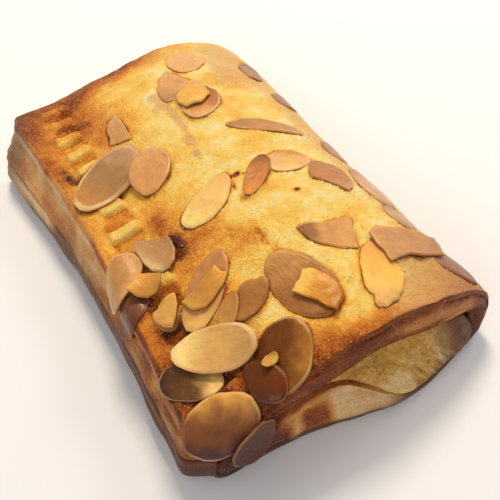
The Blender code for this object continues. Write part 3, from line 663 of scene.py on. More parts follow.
def nearestHit(trees, start, direction):
    # the first thing a ray meets: place, normal, face, distance
    hits = [tree.ray_cast(start, direction) for tree in trees]
    return min((h for h in hits if h[0] is not None), key=lambda h: h[3], default=None)


def sliceFrame(item, crustTree):
    # its centre on the crust and its own axes, level with what is under it
    turn = math.radians(item["turn"])
    if item["onEnd"]:
        place, down = Vector((item["x"], -90, item["y"])), Vector((0, 1, 0))
        level = Vector((math.cos(turn), 0, math.sin(turn)))
        side = Vector((math.sin(turn), 0, -math.cos(turn)))
    else:
        place, down = Vector((item["x"], item["y"], rayHeight)), Vector((0, 0, -1))
        level = Vector((math.cos(turn), math.sin(turn), 0))
        side = Vector((-math.sin(turn), math.cos(turn), 0))
    up = Vector()
    for x, y in outlineOf(item, sliceShape["around"], False):
        hit = nearestHit([crustTree], place + level * (0.6 * x) + side * (0.6 * y), down)
        if hit:
            up += hit[1]
    up.normalize()
    centre = nearestHit([crustTree], place, down)[0]
    right = (level - up * level.dot(up)).normalized()
    return centre, right, up.cross(right), up


def layDown(item, crustTree, sliceTrees):
    # a gently bent bed under the slice, and how far it has to lift to lie on what is below
    centre, right, across, up = item["frame"]
    probe, rim = sliceShape["probe"], outlineOf(item, sliceShape["around"])
    rows, heights, need = [], [], []
    for share in (0.0, 0.3, 0.6, 0.85, 1.0):
        for x, y in ((share * a, share * b) for a, b in (rim if share else rim[:1])):
            start = centre + right * x + across * y + up * probe
            onCrust = nearestHit([crustTree], start, -up)
            onSlice = nearestHit(sliceTrees, start, -up) if sliceTrees else None
            crustHeight = probe - onCrust[3] if onCrust else -9.0
            sliceHeight = probe - onSlice[3] if onSlice else -9.0
            height = max(crustHeight, sliceHeight)
            if height > -4.0:
                rows.append((1, x, y, x * x, x * y, y * y))
                heights.append(height)
                need.append(max(crustHeight - sliceShape["sink"],
                                sliceHeight + sliceShape["gap"]))
    rows, heights, need = np.array(rows), np.array(heights), np.array(need)
    stiff = np.diag((0, 0, 0, 1, 1, 1)) * len(rows) * item["long"] ** 2 * sliceShape["stiffness"]
    item["fit"] = np.linalg.solve(rows.T @ rows + stiff, rows.T @ heights)
    item["lift"] = float(np.max(need - rows @ item["fit"]))


def underside(item, x, y):
    # height of the slice's lower face over its own plane
    one = np.ones_like(x)
    bed = np.stack([one, x, y, x * x, x * y, y * y], -1) @ item["fit"]
    return bed + item["lift"] + item["curl"] * (2 * x / item["long"]) ** 2


def sliceMesh(item, sides, shares):
    # two faces of rings, the lower one on the slice's bed, joined round the rim
    shape = sliceShape
    centre, right, across, up = (np.array(v) for v in item["frame"])
    rim = np.array(outlineOf(item, sides))
    points, info = [], []
    for side in (0, 1):
        for share in shares:
            flat = rim * share if share else np.zeros((1, 2))
            x, y = flat[:, 0], flat[:, 1]
            spots = np.column_stack([x, y, np.full(len(x), item["x"] * 3)])
            thinner = shape["thinning"] * float(smooth(shape["thinFrom"], 1.0, share))
            thick = shape["thick"] * (1.0 - thinner)
            bend = shape["bend"] * share * perlin(spots, shape["bendSize"])
            dimple = shape["dimple"] * perlin(spots, shape["dimpleSize"], 5.0)
            height = underside(item, x, y) + bend + side * (thick + dimple)
            points.append(centre + np.outer(x, right) + np.outer(y, across)
                          + np.outer(height, up))
            info.append(np.column_stack([x, y, np.full(len(x), share)]))
    points, info = np.concatenate(points), np.concatenate(info)
    half, faces = len(points) // 2, []
    for base in (0, half):
        first = base + 1
        for i in range(sides):
            hub = (base, first + i, first + (i + 1) % sides)
            faces.append(hub if base else hub[::-1])
        for ring in range(len(shares) - 2):
            a, b = first + ring * sides, first + (ring + 1) * sides
            for i in range(sides):
                j = (i + 1) % sides
                quad = (a + i, b + i, b + j, a + j)
                faces.append(quad if base else quad[::-1])
    edge = 1 + (len(shares) - 2) * sides
    return points, faces + ringFaces(edge, half + edge, sides), info


toasting = {"cloudShift": 0.24, "smallShift": 0.10, "cloudShade": 0.12, "smallShade": 0.10,
            "warmth": (1, 0.97, 0.88, 1), "leastWet": 0.16,
            "rimFrom": 0.97, "rimWidth": 0.09, "rimPale": (0.10, 0.42, 0.52), "rimPatch": 2.2}


def toastColours(item, info):
    # colour at each point: a run across the slice, with faint clouds
    heading = math.radians(item["heading"])
    way = Vector((math.cos(heading), math.sin(heading), 0))
    if item["onEnd"]:
        way = Vector((1, 0, 0))
    run = info[:, 0] * way.dot(item["frame"][1]) + info[:, 1] * way.dot(item["frame"][2])
    reached = max(np.abs(run).max(), 1e-6)
    spots = np.column_stack([info[:, :2], np.full(len(info), item["x"])])
    cloud, small = perlin(spots, 3.6), perlin(spots, 1.3, 7.0)
    t = run / reached + toasting["cloudShift"] * cloud + toasting["smallShift"] * small
    start, middle, end = (np.array(hexColour(item[k])) for k in ("start", "middle", "end"))
    low, high = smooth(-1.0, -0.05, t)[:, None], smooth(0.05, 1.0, t)[:, None]
    colour = mix(mix(start, middle, low), end, high)
    clouds = toasting["cloudShade"] * cloud[:, None] + toasting["smallShade"] * small[:, None]
    colour = colour * (1 + clouds) * toasting["warmth"]
    colour[:, 3] = 1.0
    return np.clip(colour, 0, 1)


def treeOf(points, faces):
    return BVHTree.FromPolygons([Vector(p) for p in points], faces)


def laySlices():
    crustTree, sliceTrees, laid = treeOf(crustPoints, crustFaces), [], []
    for number, row in enumerate(slices + endSlices, 1):
        item = dict(zip(sliceFields, row), onEnd=row in endSlices, number=number)
        item["frame"] = sliceFrame(item, crustTree)
        layDown(item, crustTree, sliceTrees)
        item["mesh"] = sliceMesh(item, sliceShape["sides"], sliceShape["shares"])
        points, faces, _ = sliceMesh(item, 28, (0.0, 0.4, 0.7, 0.9, 1.0))  # a plainer one for rays
        sliceTrees.append(treeOf(points, faces))
        laid.append(item)
    return laid, sliceTrees


laidSlices, sliceTrees = laySlices()
print("slices laid:", len(laidSlices))


def overSlice(item, p):
    # the points of p close to a slice: which, where in its plane, height, gap to its rim
    centre, right, across, up = (np.array(v) for v in item["frame"])
    offset = p - centre
    near = np.flatnonzero(np.linalg.norm(offset, axis=1) < item["long"] * 0.6 + 4)
    x, y, h = (offset[near] @ v for v in (right, across, up))
    rim = np.array(outlineOf(item, 72))
    angles = np.arctan2(rim[:, 1], rim[:, 0])
    order = np.argsort(angles)
    radius = np.interp(np.arctan2(y, x), angles[order], np.hypot(*rim[order].T),
                       period=2 * math.pi)
    return near, x, y, h, np.hypot(x, y) - radius


bedding = {"gap": 0.06, "glazeReach": 0.6, "glazeRise": 0.3, "deepest": 1.1}


def bedCrust(p, zone):
    # the crust gives way under each slice, and the glaze is drawn up to its rim
    p = p.copy()
    for item in laidSlices:
        up = np.array(item["frame"][3])
        near, x, y, h, gap = overSlice(item, p)
        bottom = underside(item, x, y)
        free = (zone[near] != 3.0) & (np.abs(h) < 4)
        pressed = np.where((gap < 0.1) & free, np.maximum(h - bottom + bedding["gap"], 0), 0)
        inside = smooth(-1.4, -0.2, gap) * (gap < 0)
        draw = np.exp(-(np.clip(gap, 0, None) / bedding["glazeReach"]) ** 2)
        draw = np.where(gap < 0, inside, draw)
        target = bottom + np.where(gap < 0, -bedding["gap"], bedding["glazeRise"])
        close = free & (bottom - h < bedding["deepest"]) & (h < target) & (np.abs(gap) < 2)
        raised = (target - h) * draw * smooth(bedding["deepest"], 0.5, bottom - h)
        p[near] += np.outer(np.where(close, raised, 0) - pressed, up)
    return p


crustPoints = bedCrust(crustPoints, crustZone)
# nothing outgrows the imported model
boxLow, boxHigh = (np.array(c) * 1000 + (*drawingCentre, 0.0) for c in cadBox)
crustPoints = np.clip(crustPoints, boxLow, boxHigh)
print("slices bedded in the crust")


# How brown, wet and stained the crust is, point by point
browning = {
    "base": 0.17, "cloud": 0.16, "onBar": -0.09, "grooves": (0.22, 0.10), "crack": 0.9,
    "glazeRimAndShade": 0.40, "slickReach": 0.6,  # darker where glaze gathers along the slices, and painted contact shade there as well
    "patches": (  # x, y, radius along X, radius along Y, how much browner
        (-36, 10, 8, 70, 0.34), (-24, 56, 12, 12, 0.14), (-16, 50, 5, 12, 0.16),
        (-10, 68, 24, 5.5, 0.38), (-32, 46, 5, 26, 0.18), (5, 68, 14, 6, 0.20),
        (-32, 64, 11, 9, 0.30), (-18, 48, 5, 9, 0.18), (-14, 62, 10, 6, 0.16),
        (22, 72, 30, 3, 0.16), (-27, -46, 11, 24, 0.42), (-16, -58, 15, 10, 0.36),
        (6, -64, 42, 6.5, 0.52), (1.5, -24, 4.6, 4.2, 0.26), (-5, -16, 6, 6, 0.16),
        (46, -58, 8, 14, 0.36), (48, 10, 5, 70, 0.24), (-13, -3, 5, 6, 0.26),
        (-14, -15, 6, 8, 0.34), (-16, 30, 12, 22, 0.16), (12, -14, 4, 3, 0.12),
        (-10, -30, 10, 14, 0.14), (-12, 40, 6, 8, 0.18), (-14.2, -2.5, 2.0, 5.0, 0.20),
        (-17.4, 49, 2.4, 4, 0.12), (-14, 63.5, 4, 4, 0.08), (-25.4, 31.5, 2.4, 5, 0.10),
    ),
    "spots": (  # small burnt crumbs: x, y, radius, radius, strength
        (9.6, -4.6, 1.0, 0.7, 1.3), (7.6, -4.4, 0.6, 0.6, 1.2), (11.2, -5.8, 0.5, 0.4, 0.8),
        (19.7, -18.1, 0.8, 0.6, 1.2), (7.2, -8.0, 0.3, 0.8, 0.5),
    ),
    "dry": (  # little glaze: a streak down the top, then the fold and the far end
        (6.1, 42.6, 3.2, 3.0, 0.8), (6.9, 38.0, 2.2, 3.6, 0.8), (6.9, 31.0, 1.6, 4.2, 0.8),
        (6.9, 24.0, 1.5, 4.0, 0.8), (5.8, 16.2, 2.0, 3.6, 0.8), (5.0, 9.5, 1.2, 2.6, 0.8),
        (3.5, 36.0, 2.0, 2.0, 0.5), (28, 40, 5, 9, 0.45), (34, 50, 5, 8, 0.5),
        (33, -54, 10, 10, 0.6), (41, 0, 8, 70, 0.65), (18, 64, 16, 6, 0.45),
        (38, 54, 8, 14, 0.7), (24, -60, 12, 6, 0.5),
    ),
}
syrupPools = (  # x, y, radius along X, radius along Y, strength
    (-12.2, -13.4, 1.8, 4.6, 1.2), (-15.4, -3.0, 1.6, 4.0, 0.30), (-15.0, -6.6, 1.1, 1.4, 0.5),
    (-13.9, -16.8, 1.6, 2.2, 1.0), (-28.9, 34.6, 1.7, 1.6, 0.9),
    (-28.5, 31.0, 1.7, 2.2, 1.1), (-27.2, 27.9, 2.0, 1.6, 1.1), (-24.8, 26.2, 2.2, 1.2, 1.0),
    (-26.0, -55.0, 3.0, 6.0, 0.6), (-15.0, -60.0, 5.0, 3.0, 0.8), (-21.5, -34.0, 3.5, 2.0, 0.5),
    (-9.5, 27.0, 3.0, 1.2, 0.4), (-7.0, 20.0, 1.4, 3.0, 0.3), (-19.0, -24.5, 1.4, 3.0, 0.4),
    (-24.0, 49.0, 3.0, 4.0, 0.2), (-30.5, -20.0, 2.0, 5.0, 0.4), (-22.0, -52.5, 6.0, 1.6, 0.7),
)


def sumOf(rows, p):
    # soft round spots added up
    total = np.zeros(len(p))
    for x, y, rx, ry, amount in rows:
        total += amount * np.exp(-((p[:, 0] - x) / rx) ** 2 - ((p[:, 1] - y) / ry) ** 2)
    return total


def gapToSlices(p):
    # how far each point is from the nearest slice's rim
    gap = np.full(len(p), 9.0)
    for item in laidSlices:
        near, x, y, h, out = overSlice(item, p)
        away = np.clip(underside(item, x, y) - h - 0.8, 0, None)
        gap[near] = np.minimum(gap[near], np.clip(out, 0, None) + 1.5 * away)
    return gap


def topBake(p):
    # how brown the top is, and where the glaze lies thick
    bake = browning["base"] + sumOf(browning["patches"], p)
    bake += browning["cloud"] * perlin(p, 9.0, 41.0)
    inRow, onBar = barCover(p[:, 0], p[:, 1], 1.2)
    groove = mix(*browning["grooves"], smooth(26, 44, p[:, 1]))
    bake += inRow * mix(groove, browning["onBar"], onBar) + browning["crack"] * crackDepth(p)
    # darker close round each slice's rim: partly real glaze and partly painted contact shade
    glazeRimAndShade = np.exp(-(gapToSlices(p) / browning["slickReach"]) ** 2)
    glazeRimAndShade = glazeRimAndShade * np.clip(0.55 + 1.8 * perlin(p, 4.0, 47.0), 0, 1)
    return bake + browning["glazeRimAndShade"] * glazeRimAndShade + sumOf(browning["spots"], p), glazeRimAndShade


wallTone = {
    "base": 0.24, "leaf": 0.12, "cloud": 0.26, "near": 0.30, "nearLeaf": 0.34,
    "bands": (  # height, half width, how much browner, where along the roll it sets in and is full
        (9.8, 0.8, 0.30, -90, -80),  # the crease between the layers
        (8.0, 1.3, -0.34, 27, 34), (12.4, 1.2, 0.16, 10, 30),
    ),
    "edgeBands": ((0.6, 0.7, 0.34), (2.4, 0.8, -0.26)),  # below the top's edge: dark, then pale
    "fold": 0.34, "foldFoot": 0.2, "foldCloud": 0.15,
}
endTone = {
    # bead: how much painted light lightens the middle of the cut bead
    "dough": 0.08, "leaf": 0.10, "upper": 0.68, "bead": 0.38, "pressed": 0.84, "fold": 0.70,
    "groove": 0.78, "patch": 0.70, "patchX": -6.0, "patchZ": 6.5,
    "far": 0.48, "farLeaf": 0.16, "farUpper": 0.14,
    "paste": 0.24, "hollow": 0.60, "hollowCloud": 0.12,
}
shadows = (  # painted shade, a dull purple brown: strength, surface, and over what it grows to full along each axis
    (0.90, "sides", {"z": (3.4, 0.4)}),
    (0.95, "all", {"x": (-12, -24), "y": (-40, -58), "z": (15, 7)}),  # near corner
    (0.75, "all", {"x": (28, 42), "y": (-38, -60), "z": (17, 9)}),  # near end of the fold
    (0.60, "all", {"x": (-25, -35), "y": (46, 64)}),  # far corner
    (0.70, "wall", {"y": (2, -30), "z": (15, 6)}),
    (0.45, "top", {"x": (24, 6), "y": (63, 70)}),
    (0.52, "top", {"x": (22, 40), "y": (-44, -62)}),
)


def sideTone(p, zone, share):
    # how brown the pressed side, the cut ends and the hollow are
    x, y, z = p.T
    leaf = perlin(np.column_stack([x * 0.3, y * 0.35, z * 1.6]), 2.6, 51.0)
    cloud = perlin(p, 8.0, 57.0)
    edgeZ = curve(roll["stations"], roll["sealZ"], y)
    under = edgeZ - roll["cornerDroop"] * smooth(roll["nearEnd"] + 11, roll["nearEnd"], y) - z
    wall = wallTone["base"] + wallTone["leaf"] * leaf + wallTone["cloud"] * cloud
    for height, half, amount, start, full in wallTone["bands"]:
        wall += amount * np.exp(-((z - height) / half) ** 2) * smooth(start, full, y)
    for depth, half, amount in wallTone["edgeBands"]:
        wall += amount * np.exp(-((under - depth) / half) ** 2)
    wall += (wallTone["near"] + wallTone["nearLeaf"] * leaf) * smooth(2, -28, y)
    fold = wallTone["fold"] + wallTone["foldFoot"] * smooth(9, 0, z)
    wall = np.where(x > 20, fold + wallTone["foldCloud"] * cloud, wall)
    near = y < 0
    upper = smooth(11.0, 14.0, z)  # the end of the upper sheet
    # painted light: the bulge of the bead, more so towards the fold, is painted lighter where it
    # catches the light
    beadPaintedLight = np.exp(-((share - 0.55) / 0.25) ** 2) * smooth(10, 24, x)
    front = endTone["dough"] + endTone["leaf"] * leaf + endTone["upper"] * upper
    front -= endTone["bead"] * upper * beadPaintedLight
    groove = np.exp(-((share - cutEdge["groove"]) / 0.05) ** 2) * upper
    patch = np.exp(-((x - endTone["patchX"]) / 4.2) ** 8 - ((z - endTone["patchZ"]) / 5.5) ** 6)
    for name, where in (("patch", patch), ("pressed", smooth(-11, -13.5, x)),
                        ("fold", smooth(35, 41, x)), ("groove", groove)):
        front = np.maximum(front, endTone[name] * where)
    back = endTone["far"] + endTone["farLeaf"] * leaf + endTone["farUpper"] * upper
    inside = np.where(near & (z < 9) & (x > -6), endTone["paste"], endTone["hollow"])
    inside = inside + endTone["hollowCloud"] * cloud
    return np.select([zone == 1.0, zone == 2.0], [wall, np.where(near, front, back)], inside)


def shadeOf(p, zone):
    # how much painted shade dulls the crust to a purple brown at its ends, foot, lip and corners
    top = zone < 0.5
    surfaces = {"all": 1.0, "top": top, "sides": ~top, "wall": (zone == 1.0) * (p[:, 0] < 0)}
    z = p[:, 2] + 0.8 * perlin(p, 5.0, 61.0)
    places = {"x": p[:, 0], "y": p[:, 1], "z": z}
    shade = np.zeros(len(p))
    for strength, surface, spans in shadows:
        amount = strength * surfaces[surface]
        for axis, (start, full) in spans.items():
            amount = amount * smooth(start, full, places[axis])
        shade = np.maximum(shade, amount)
    # painted shade along the foot of the pressed side and low at the near end
    footHeight = mix(15.5, 7.6, smooth(24, 34, p[:, 1]))
    foot = 0.9 * smooth(1.0, 0.4, z / footHeight) * surfaces["wall"]
    lipHeight = mix(4.8, 7.2, smooth(12, 20, p[:, 0]))
    lip = 0.85 * smooth(1.0, 0.3, p[:, 2] / lipHeight) * smooth(-50, -60, p[:, 1]) * ~top
    return np.maximum.reduce([shade, foot, lip])


def crustLayers(p, zone, share):
    top = zone < 0.5
    bake, syrup = np.zeros(len(p)), np.zeros(len(p))
    bake[top], glazeRimAndShade = topBake(p[top])
    syrup[top] = sumOf(syrupPools, p[top]) + 0.5 * glazeRimAndShade * smooth(0.1, 0.6, bake[top])
    bake[~top] = sideTone(p[~top], zone[~top], share[~top])
    bead = (zone == 2.0) * (p[:, 1] < 0) * smooth(12, 15, p[:, 2]) * smooth(0.2, 0.35, share)
    syrup[~top] = (0.36 * bead)[~top]
    dry = sumOf(browning["dry"], p) * top
    return {"bake": np.clip(bake, 0, 1), "syrup": np.clip(syrup, 0, 1.2),
            "shade": np.clip(shadeOf(p, zone), 0, 1), "side": np.where(top, 0.0, 1.0),
            "leaves": np.where(zone == 2.0, share, 0.0), "dry": np.clip(dry, 0, 1)}


crustLayer = crustLayers(crustPoints, crustZone, crustShare)
print("crust browned")


crustColours = {
    "top": ((0.00, "#FFE9A6"), (0.15, "#FFD468"), (0.32, "#F6B044"), (0.50, "#D37C2A"),
            (0.68, "#A0501A"), (0.86, "#5E280E"), (1.00, "#381606")),
    "dough": ((0.00, "#EECB98"), (0.22, "#E2A862"), (0.44, "#CC8440"), (0.64, "#A05424"),
              (0.82, "#742F12"), (1.00, "#40180A")),
    # the dull top and side colours are painted shade
    "dry": "#DCA668", "syrup": "#70300E", "paintedShadeTop": "#8F5640", "paintedShadeSide": "#4C2C2A",
    "shine": "#FFCF98",
}
toMillimetres = (1000.0, 1000.0, 1000.0)  # so that a pattern of scale 1 is about 1 mm large


def pastryMaterial():
    # puff pastry brushed with egg and baked: cream dough under a thin glossy skin that browns
    # unevenly, with fine blisters and caramel where syrup ran
    made, tree = newMaterial("eggGlazedPuffPastry")
    coords = addNode(tree, "ShaderNodeTexCoord")
    place = addNode(tree, "ShaderNodeMapping", {
        "Vector": coords.outputs["Object"], "Scale": toMillimetres})
    bake, syrup, side, shade, dry, leaves = (
        addNode(tree, "ShaderNodeAttribute", attribute_name=name).outputs["Fac"]
        for name in ("bake", "syrup", "side", "shade", "dry", "leaves"))
    # clouds of 3 mm, specks and blisters of 0.8 mm, and a grain of 0.3 mm, which is as fine as
    # shows: the real skin is finer still
    broad = addNode(tree, "ShaderNodeTexNoise", {"Vector": place, "Scale": 0.30, "Detail": 5.0,
                                                 "Roughness": 0.6})
    speck = addNode(tree, "ShaderNodeTexNoise", {"Vector": place, "Scale": 1.3, "Detail": 3.0,
                                                 "Roughness": 0.7})
    grain = addNode(tree, "ShaderNodeTexNoise", {"Vector": place, "Scale": 3.2, "Detail": 2.0})
    blister = addNode(tree, "ShaderNodeTexVoronoi", {"Vector": place, "Scale": 1.3},
                      feature="SMOOTH_F1")
    speckle = addNode(tree, "ShaderNodeMath", {0: speck, 1: 0.5}, operation="SUBTRACT")
    # the browner the crust, the more it is speckled
    contrast = addNode(tree, "ShaderNodeMapRange", {"Value": bake, "To Min": 0.08,
                                                    "To Max": 0.62})
    # fine wrinkles of the skin: narrow ridges along the middle level of a noise; they raise the
    # bump, and their ridges are painted a little paler as a fine painted highlight
    level = addNode(tree, "ShaderNodeTexNoise", {"Vector": place, "Scale": 0.65, "Detail": 2.0,
                                                 "Roughness": 0.6, "Distortion": 0.6})
    level = addNode(tree, "ShaderNodeMath", {0: level, 1: 0.5}, operation="SUBTRACT")
    level = addNode(tree, "ShaderNodeMath", {0: level}, operation="ABSOLUTE")
    wrinkle = addNode(tree, "ShaderNodeMapRange", {"Value": level, "From Max": 0.07,
                                                   "To Min": 1.0, "To Max": 0.0})
    tone = bake
    # the wrinkles' ridges come out paler here: painted highlight
    for source, amount in ((broad, 0.5), (speckle, contrast), (grain, 0.12), (wrinkle, -0.05)):
        tone = addNode(tree, "ShaderNodeMath", {0: source, 1: amount, 2: tone},
                       operation="MULTIPLY_ADD")
    tone = addNode(tree, "ShaderNodeMath", {0: tone, 1: 0.335}, operation="SUBTRACT")
    crust = addNode(tree, "ShaderNodeValToRGB", {"Fac": tone}, stops=crustColours["top"])
    dryness = addNode(tree, "ShaderNodeMath", {0: dry, 1: speckle}, operation="ADD")
    dryness = addNode(tree, "ShaderNodeMapRange", {"Value": dryness, "From Min": 0.30,
                                                   "From Max": 0.55, "To Max": 0.7})
    crust = addNode(tree, "ShaderNodeMix", {
        0: dryness, 6: crust, 7: hexColour(crustColours["dry"])}, data_type="RGBA")
    # leaves of dough along the cut ends and the pressed side
    stripe = addNode(tree, "ShaderNodeMath", {0: leaves, 1: 7.0}, operation="MULTIPLY")
    stripe = addNode(tree, "ShaderNodeMath", {0: broad, 1: 2.6, 2: stripe},
                     operation="MULTIPLY_ADD")
    band = addNode(tree, "ShaderNodeMath", {0: stripe, 1: 1.0}, operation="PINGPONG")
    flat = addNode(tree, "ShaderNodeVectorMath", {0: place, 1: (0.25, 0.12, 1.6)},
                   operation="MULTIPLY")
    streak = addNode(tree, "ShaderNodeTexNoise", {"Vector": flat, "Scale": 1.0, "Detail": 3.0})
    doughTone = bake
    for source, amount in ((streak, 0.16), (broad, 0.50), (speck, 0.30)):
        doughTone = addNode(tree, "ShaderNodeMath", {0: source, 1: amount, 2: doughTone},
                            operation="MULTIPLY_ADD")
    doughTone = addNode(tree, "ShaderNodeMath", {0: doughTone, 1: 0.48}, operation="SUBTRACT")
    dough = addNode(tree, "ShaderNodeValToRGB", {"Fac": doughTone}, stops=crustColours["dough"])
    colour = addNode(tree, "ShaderNodeMix", {0: side, 6: crust.outputs[2], 7: dough},
                     data_type="RGBA")
    wetness = addNode(tree, "ShaderNodeMath", {0: speckle, 1: 0.9, 2: syrup},
                      operation="MULTIPLY_ADD")
    wet = addNode(tree, "ShaderNodeMapRange", {"Value": wetness, "From Min": 0.30,
                                               "From Max": 0.95})
    colour = addNode(tree, "ShaderNodeMix", {
        0: wet, 6: colour.outputs[2], 7: hexColour(crustColours["syrup"])}, data_type="RGBA")
    # painted shade: low on the sides, at the ends and in the corners the crust is painted a dull
    # purple brown
    paintedShade = addNode(tree, "ShaderNodeMix", {
        0: side, 6: hexColour(crustColours["paintedShadeTop"]),
        7: hexColour(crustColours["paintedShadeSide"])}, data_type="RGBA")
    colour = addNode(tree, "ShaderNodeMix", {0: shade, 6: colour.outputs[2],
                                             7: paintedShade.outputs[2]}, data_type="RGBA")
    coat = addNode(tree, "ShaderNodeMath", {0: wet, 1: 0.45}, operation="MULTIPLY")
    gloss = addNode(tree, "ShaderNodeMapRange", {"Value": tone, "From Min": 0.1, "From Max": 0.8,
                                                 "To Min": 0.40, "To Max": 0.24})
    height = speck
    for source, amount in ((grain, 0.40), (wrinkle, 0.25), (blister, -0.45), (band, 0.20)):
        height = addNode(tree, "ShaderNodeMath", {0: source, 1: amount, 2: height},
                         operation="MULTIPLY_ADD")
    bump = addNode(tree, "ShaderNodeBump", {"Height": height, "Strength": 1.0,
                                            "Distance": 0.00048})
    shader = addNode(tree, "ShaderNodeBsdfPrincipled", {
        "Base Color": colour.outputs[2], "Roughness": gloss, "Normal": bump, "IOR": 1.45,
        "Specular IOR Level": 0.38, "Specular Tint": hexColour(crustColours["shine"]),
        "Coat Weight": coat, "Coat Roughness": 0.12, "Subsurface Weight": 0.10,
        "Subsurface Radius": (0.0022, 0.0011, 0.0004), "Subsurface Scale": 1.0})
    addNode(tree, "ShaderNodeOutputMaterial", {"Surface": shader})
    return made


almondColours = {"rim": "#F3C88C", "skin": "#7A4220", "shine": "#FFCF98"}


def almondMaterial():
    # almond sliced thin and toasted: waxy, slightly see-through, fine fibres along it, a pale rim
    # and a trace of brown skin at the edge
    made, tree = newMaterial("toastedSlicedAlmond")
    coords = addNode(tree, "ShaderNodeTexCoord")
    place = addNode(tree, "ShaderNodeMapping", {
        "Vector": coords.outputs["Object"], "Scale": toMillimetres})
    fibreAt = addNode(tree, "ShaderNodeAttribute", attribute_name="fibre")
    toast = addNode(tree, "ShaderNodeAttribute", attribute_name="toast")
    wet = addNode(tree, "ShaderNodeAttribute", attribute_name="wet")
    rimAt = addNode(tree, "ShaderNodeAttribute", attribute_name="rim")
    # fibres 1 mm wide and 4.5 mm long, mottling of 2 mm and a grain of 0.2 mm
    fibre = addNode(tree, "ShaderNodeTexNoise", {"Vector": fibreAt.outputs["Vector"],
                                                 "Scale": 1.0, "Detail": 4.0})
    mottle = addNode(tree, "ShaderNodeTexNoise", {"Vector": place, "Scale": 0.45, "Detail": 6.0,
                                                  "Roughness": 0.6})
    grain = addNode(tree, "ShaderNodeTexNoise", {"Vector": place, "Scale": 4.5, "Detail": 2.0})
    tone = 0.65
    for source, amount in ((fibre, 0.18), (mottle, 0.44), (grain, 0.10)):
        tone = addNode(tree, "ShaderNodeMath", {0: source, 1: amount, 2: tone},
                       operation="MULTIPLY_ADD")
    shaded = addNode(tree, "ShaderNodeVectorMath", {0: toast.outputs["Color"], "Scale": tone},
                     operation="SCALE")
    # the rim attribute holds the way out to the edge, where the pale rim starts and how pale it is
    rim = addNode(tree, "ShaderNodeSeparateXYZ", {"Vector": rimAt.outputs["Vector"]})
    out = addNode(tree, "ShaderNodeMath", {0: mottle, 1: 0.06, 2: rim.outputs["X"]},
                  operation="MULTIPLY_ADD")
    inRim = addNode(tree, "ShaderNodeMath", {0: out, 1: rim.outputs["Y"]}, operation="SUBTRACT")
    paler = addNode(tree, "ShaderNodeMapRange", {"Value": inRim, "From Min": 0.02,
                                                 "From Max": 0.045, "To Max": rim.outputs["Z"]})
    colour = addNode(tree, "ShaderNodeMix", {
        0: paler, 6: shaded, 7: hexColour(almondColours["rim"])}, data_type="RGBA")
    skin = addNode(tree, "ShaderNodeMapRange", {"Value": out, "From Min": 1.006,
                                                "From Max": 1.03, "To Max": 0.55})
    colour = addNode(tree, "ShaderNodeMix", {
        0: skin, 6: colour.outputs[2], 7: hexColour(almondColours["skin"])}, data_type="RGBA")
    rough = addNode(tree, "ShaderNodeMapRange", {"Value": wet.outputs["Fac"], "To Min": 0.38,
                                                 "To Max": 0.12})
    height = fibre
    for source, amount in ((grain, 0.25), (mottle, 1.2), (paler, 0.5)):
        height = addNode(tree, "ShaderNodeMath", {0: source, 1: amount, 2: height},
                         operation="MULTIPLY_ADD")
    bump = addNode(tree, "ShaderNodeBump", {"Height": height, "Strength": 0.7,
                                            "Distance": 0.0003})
    coat = addNode(tree, "ShaderNodeMath", {0: wet.outputs["Fac"], 1: 0.45},
                   operation="MULTIPLY")
    shader = addNode(tree, "ShaderNodeBsdfPrincipled", {
        "Base Color": colour.outputs[2], "Roughness": rough, "Normal": bump, "IOR": 1.46,
        "Specular IOR Level": 0.36, "Specular Tint": hexColour(almondColours["shine"]),
        "Coat Weight": coat, "Coat Roughness": 0.12, "Subsurface Weight": 0.25,
        "Subsurface Radius": (0.0014, 0.0008, 0.0003), "Subsurface Scale": 1.0})
    addNode(tree, "ShaderNodeOutputMaterial", {"Surface": shader})
    return made


pasteColours = {
    "paste": ((0.0, "#A2701F"), (0.3, "#D6A044"), (0.6, "#EAC37C"), (1.0, "#F6E4BC")),
    "shade": "#6C4036", "shine": "#FFD49C",
}


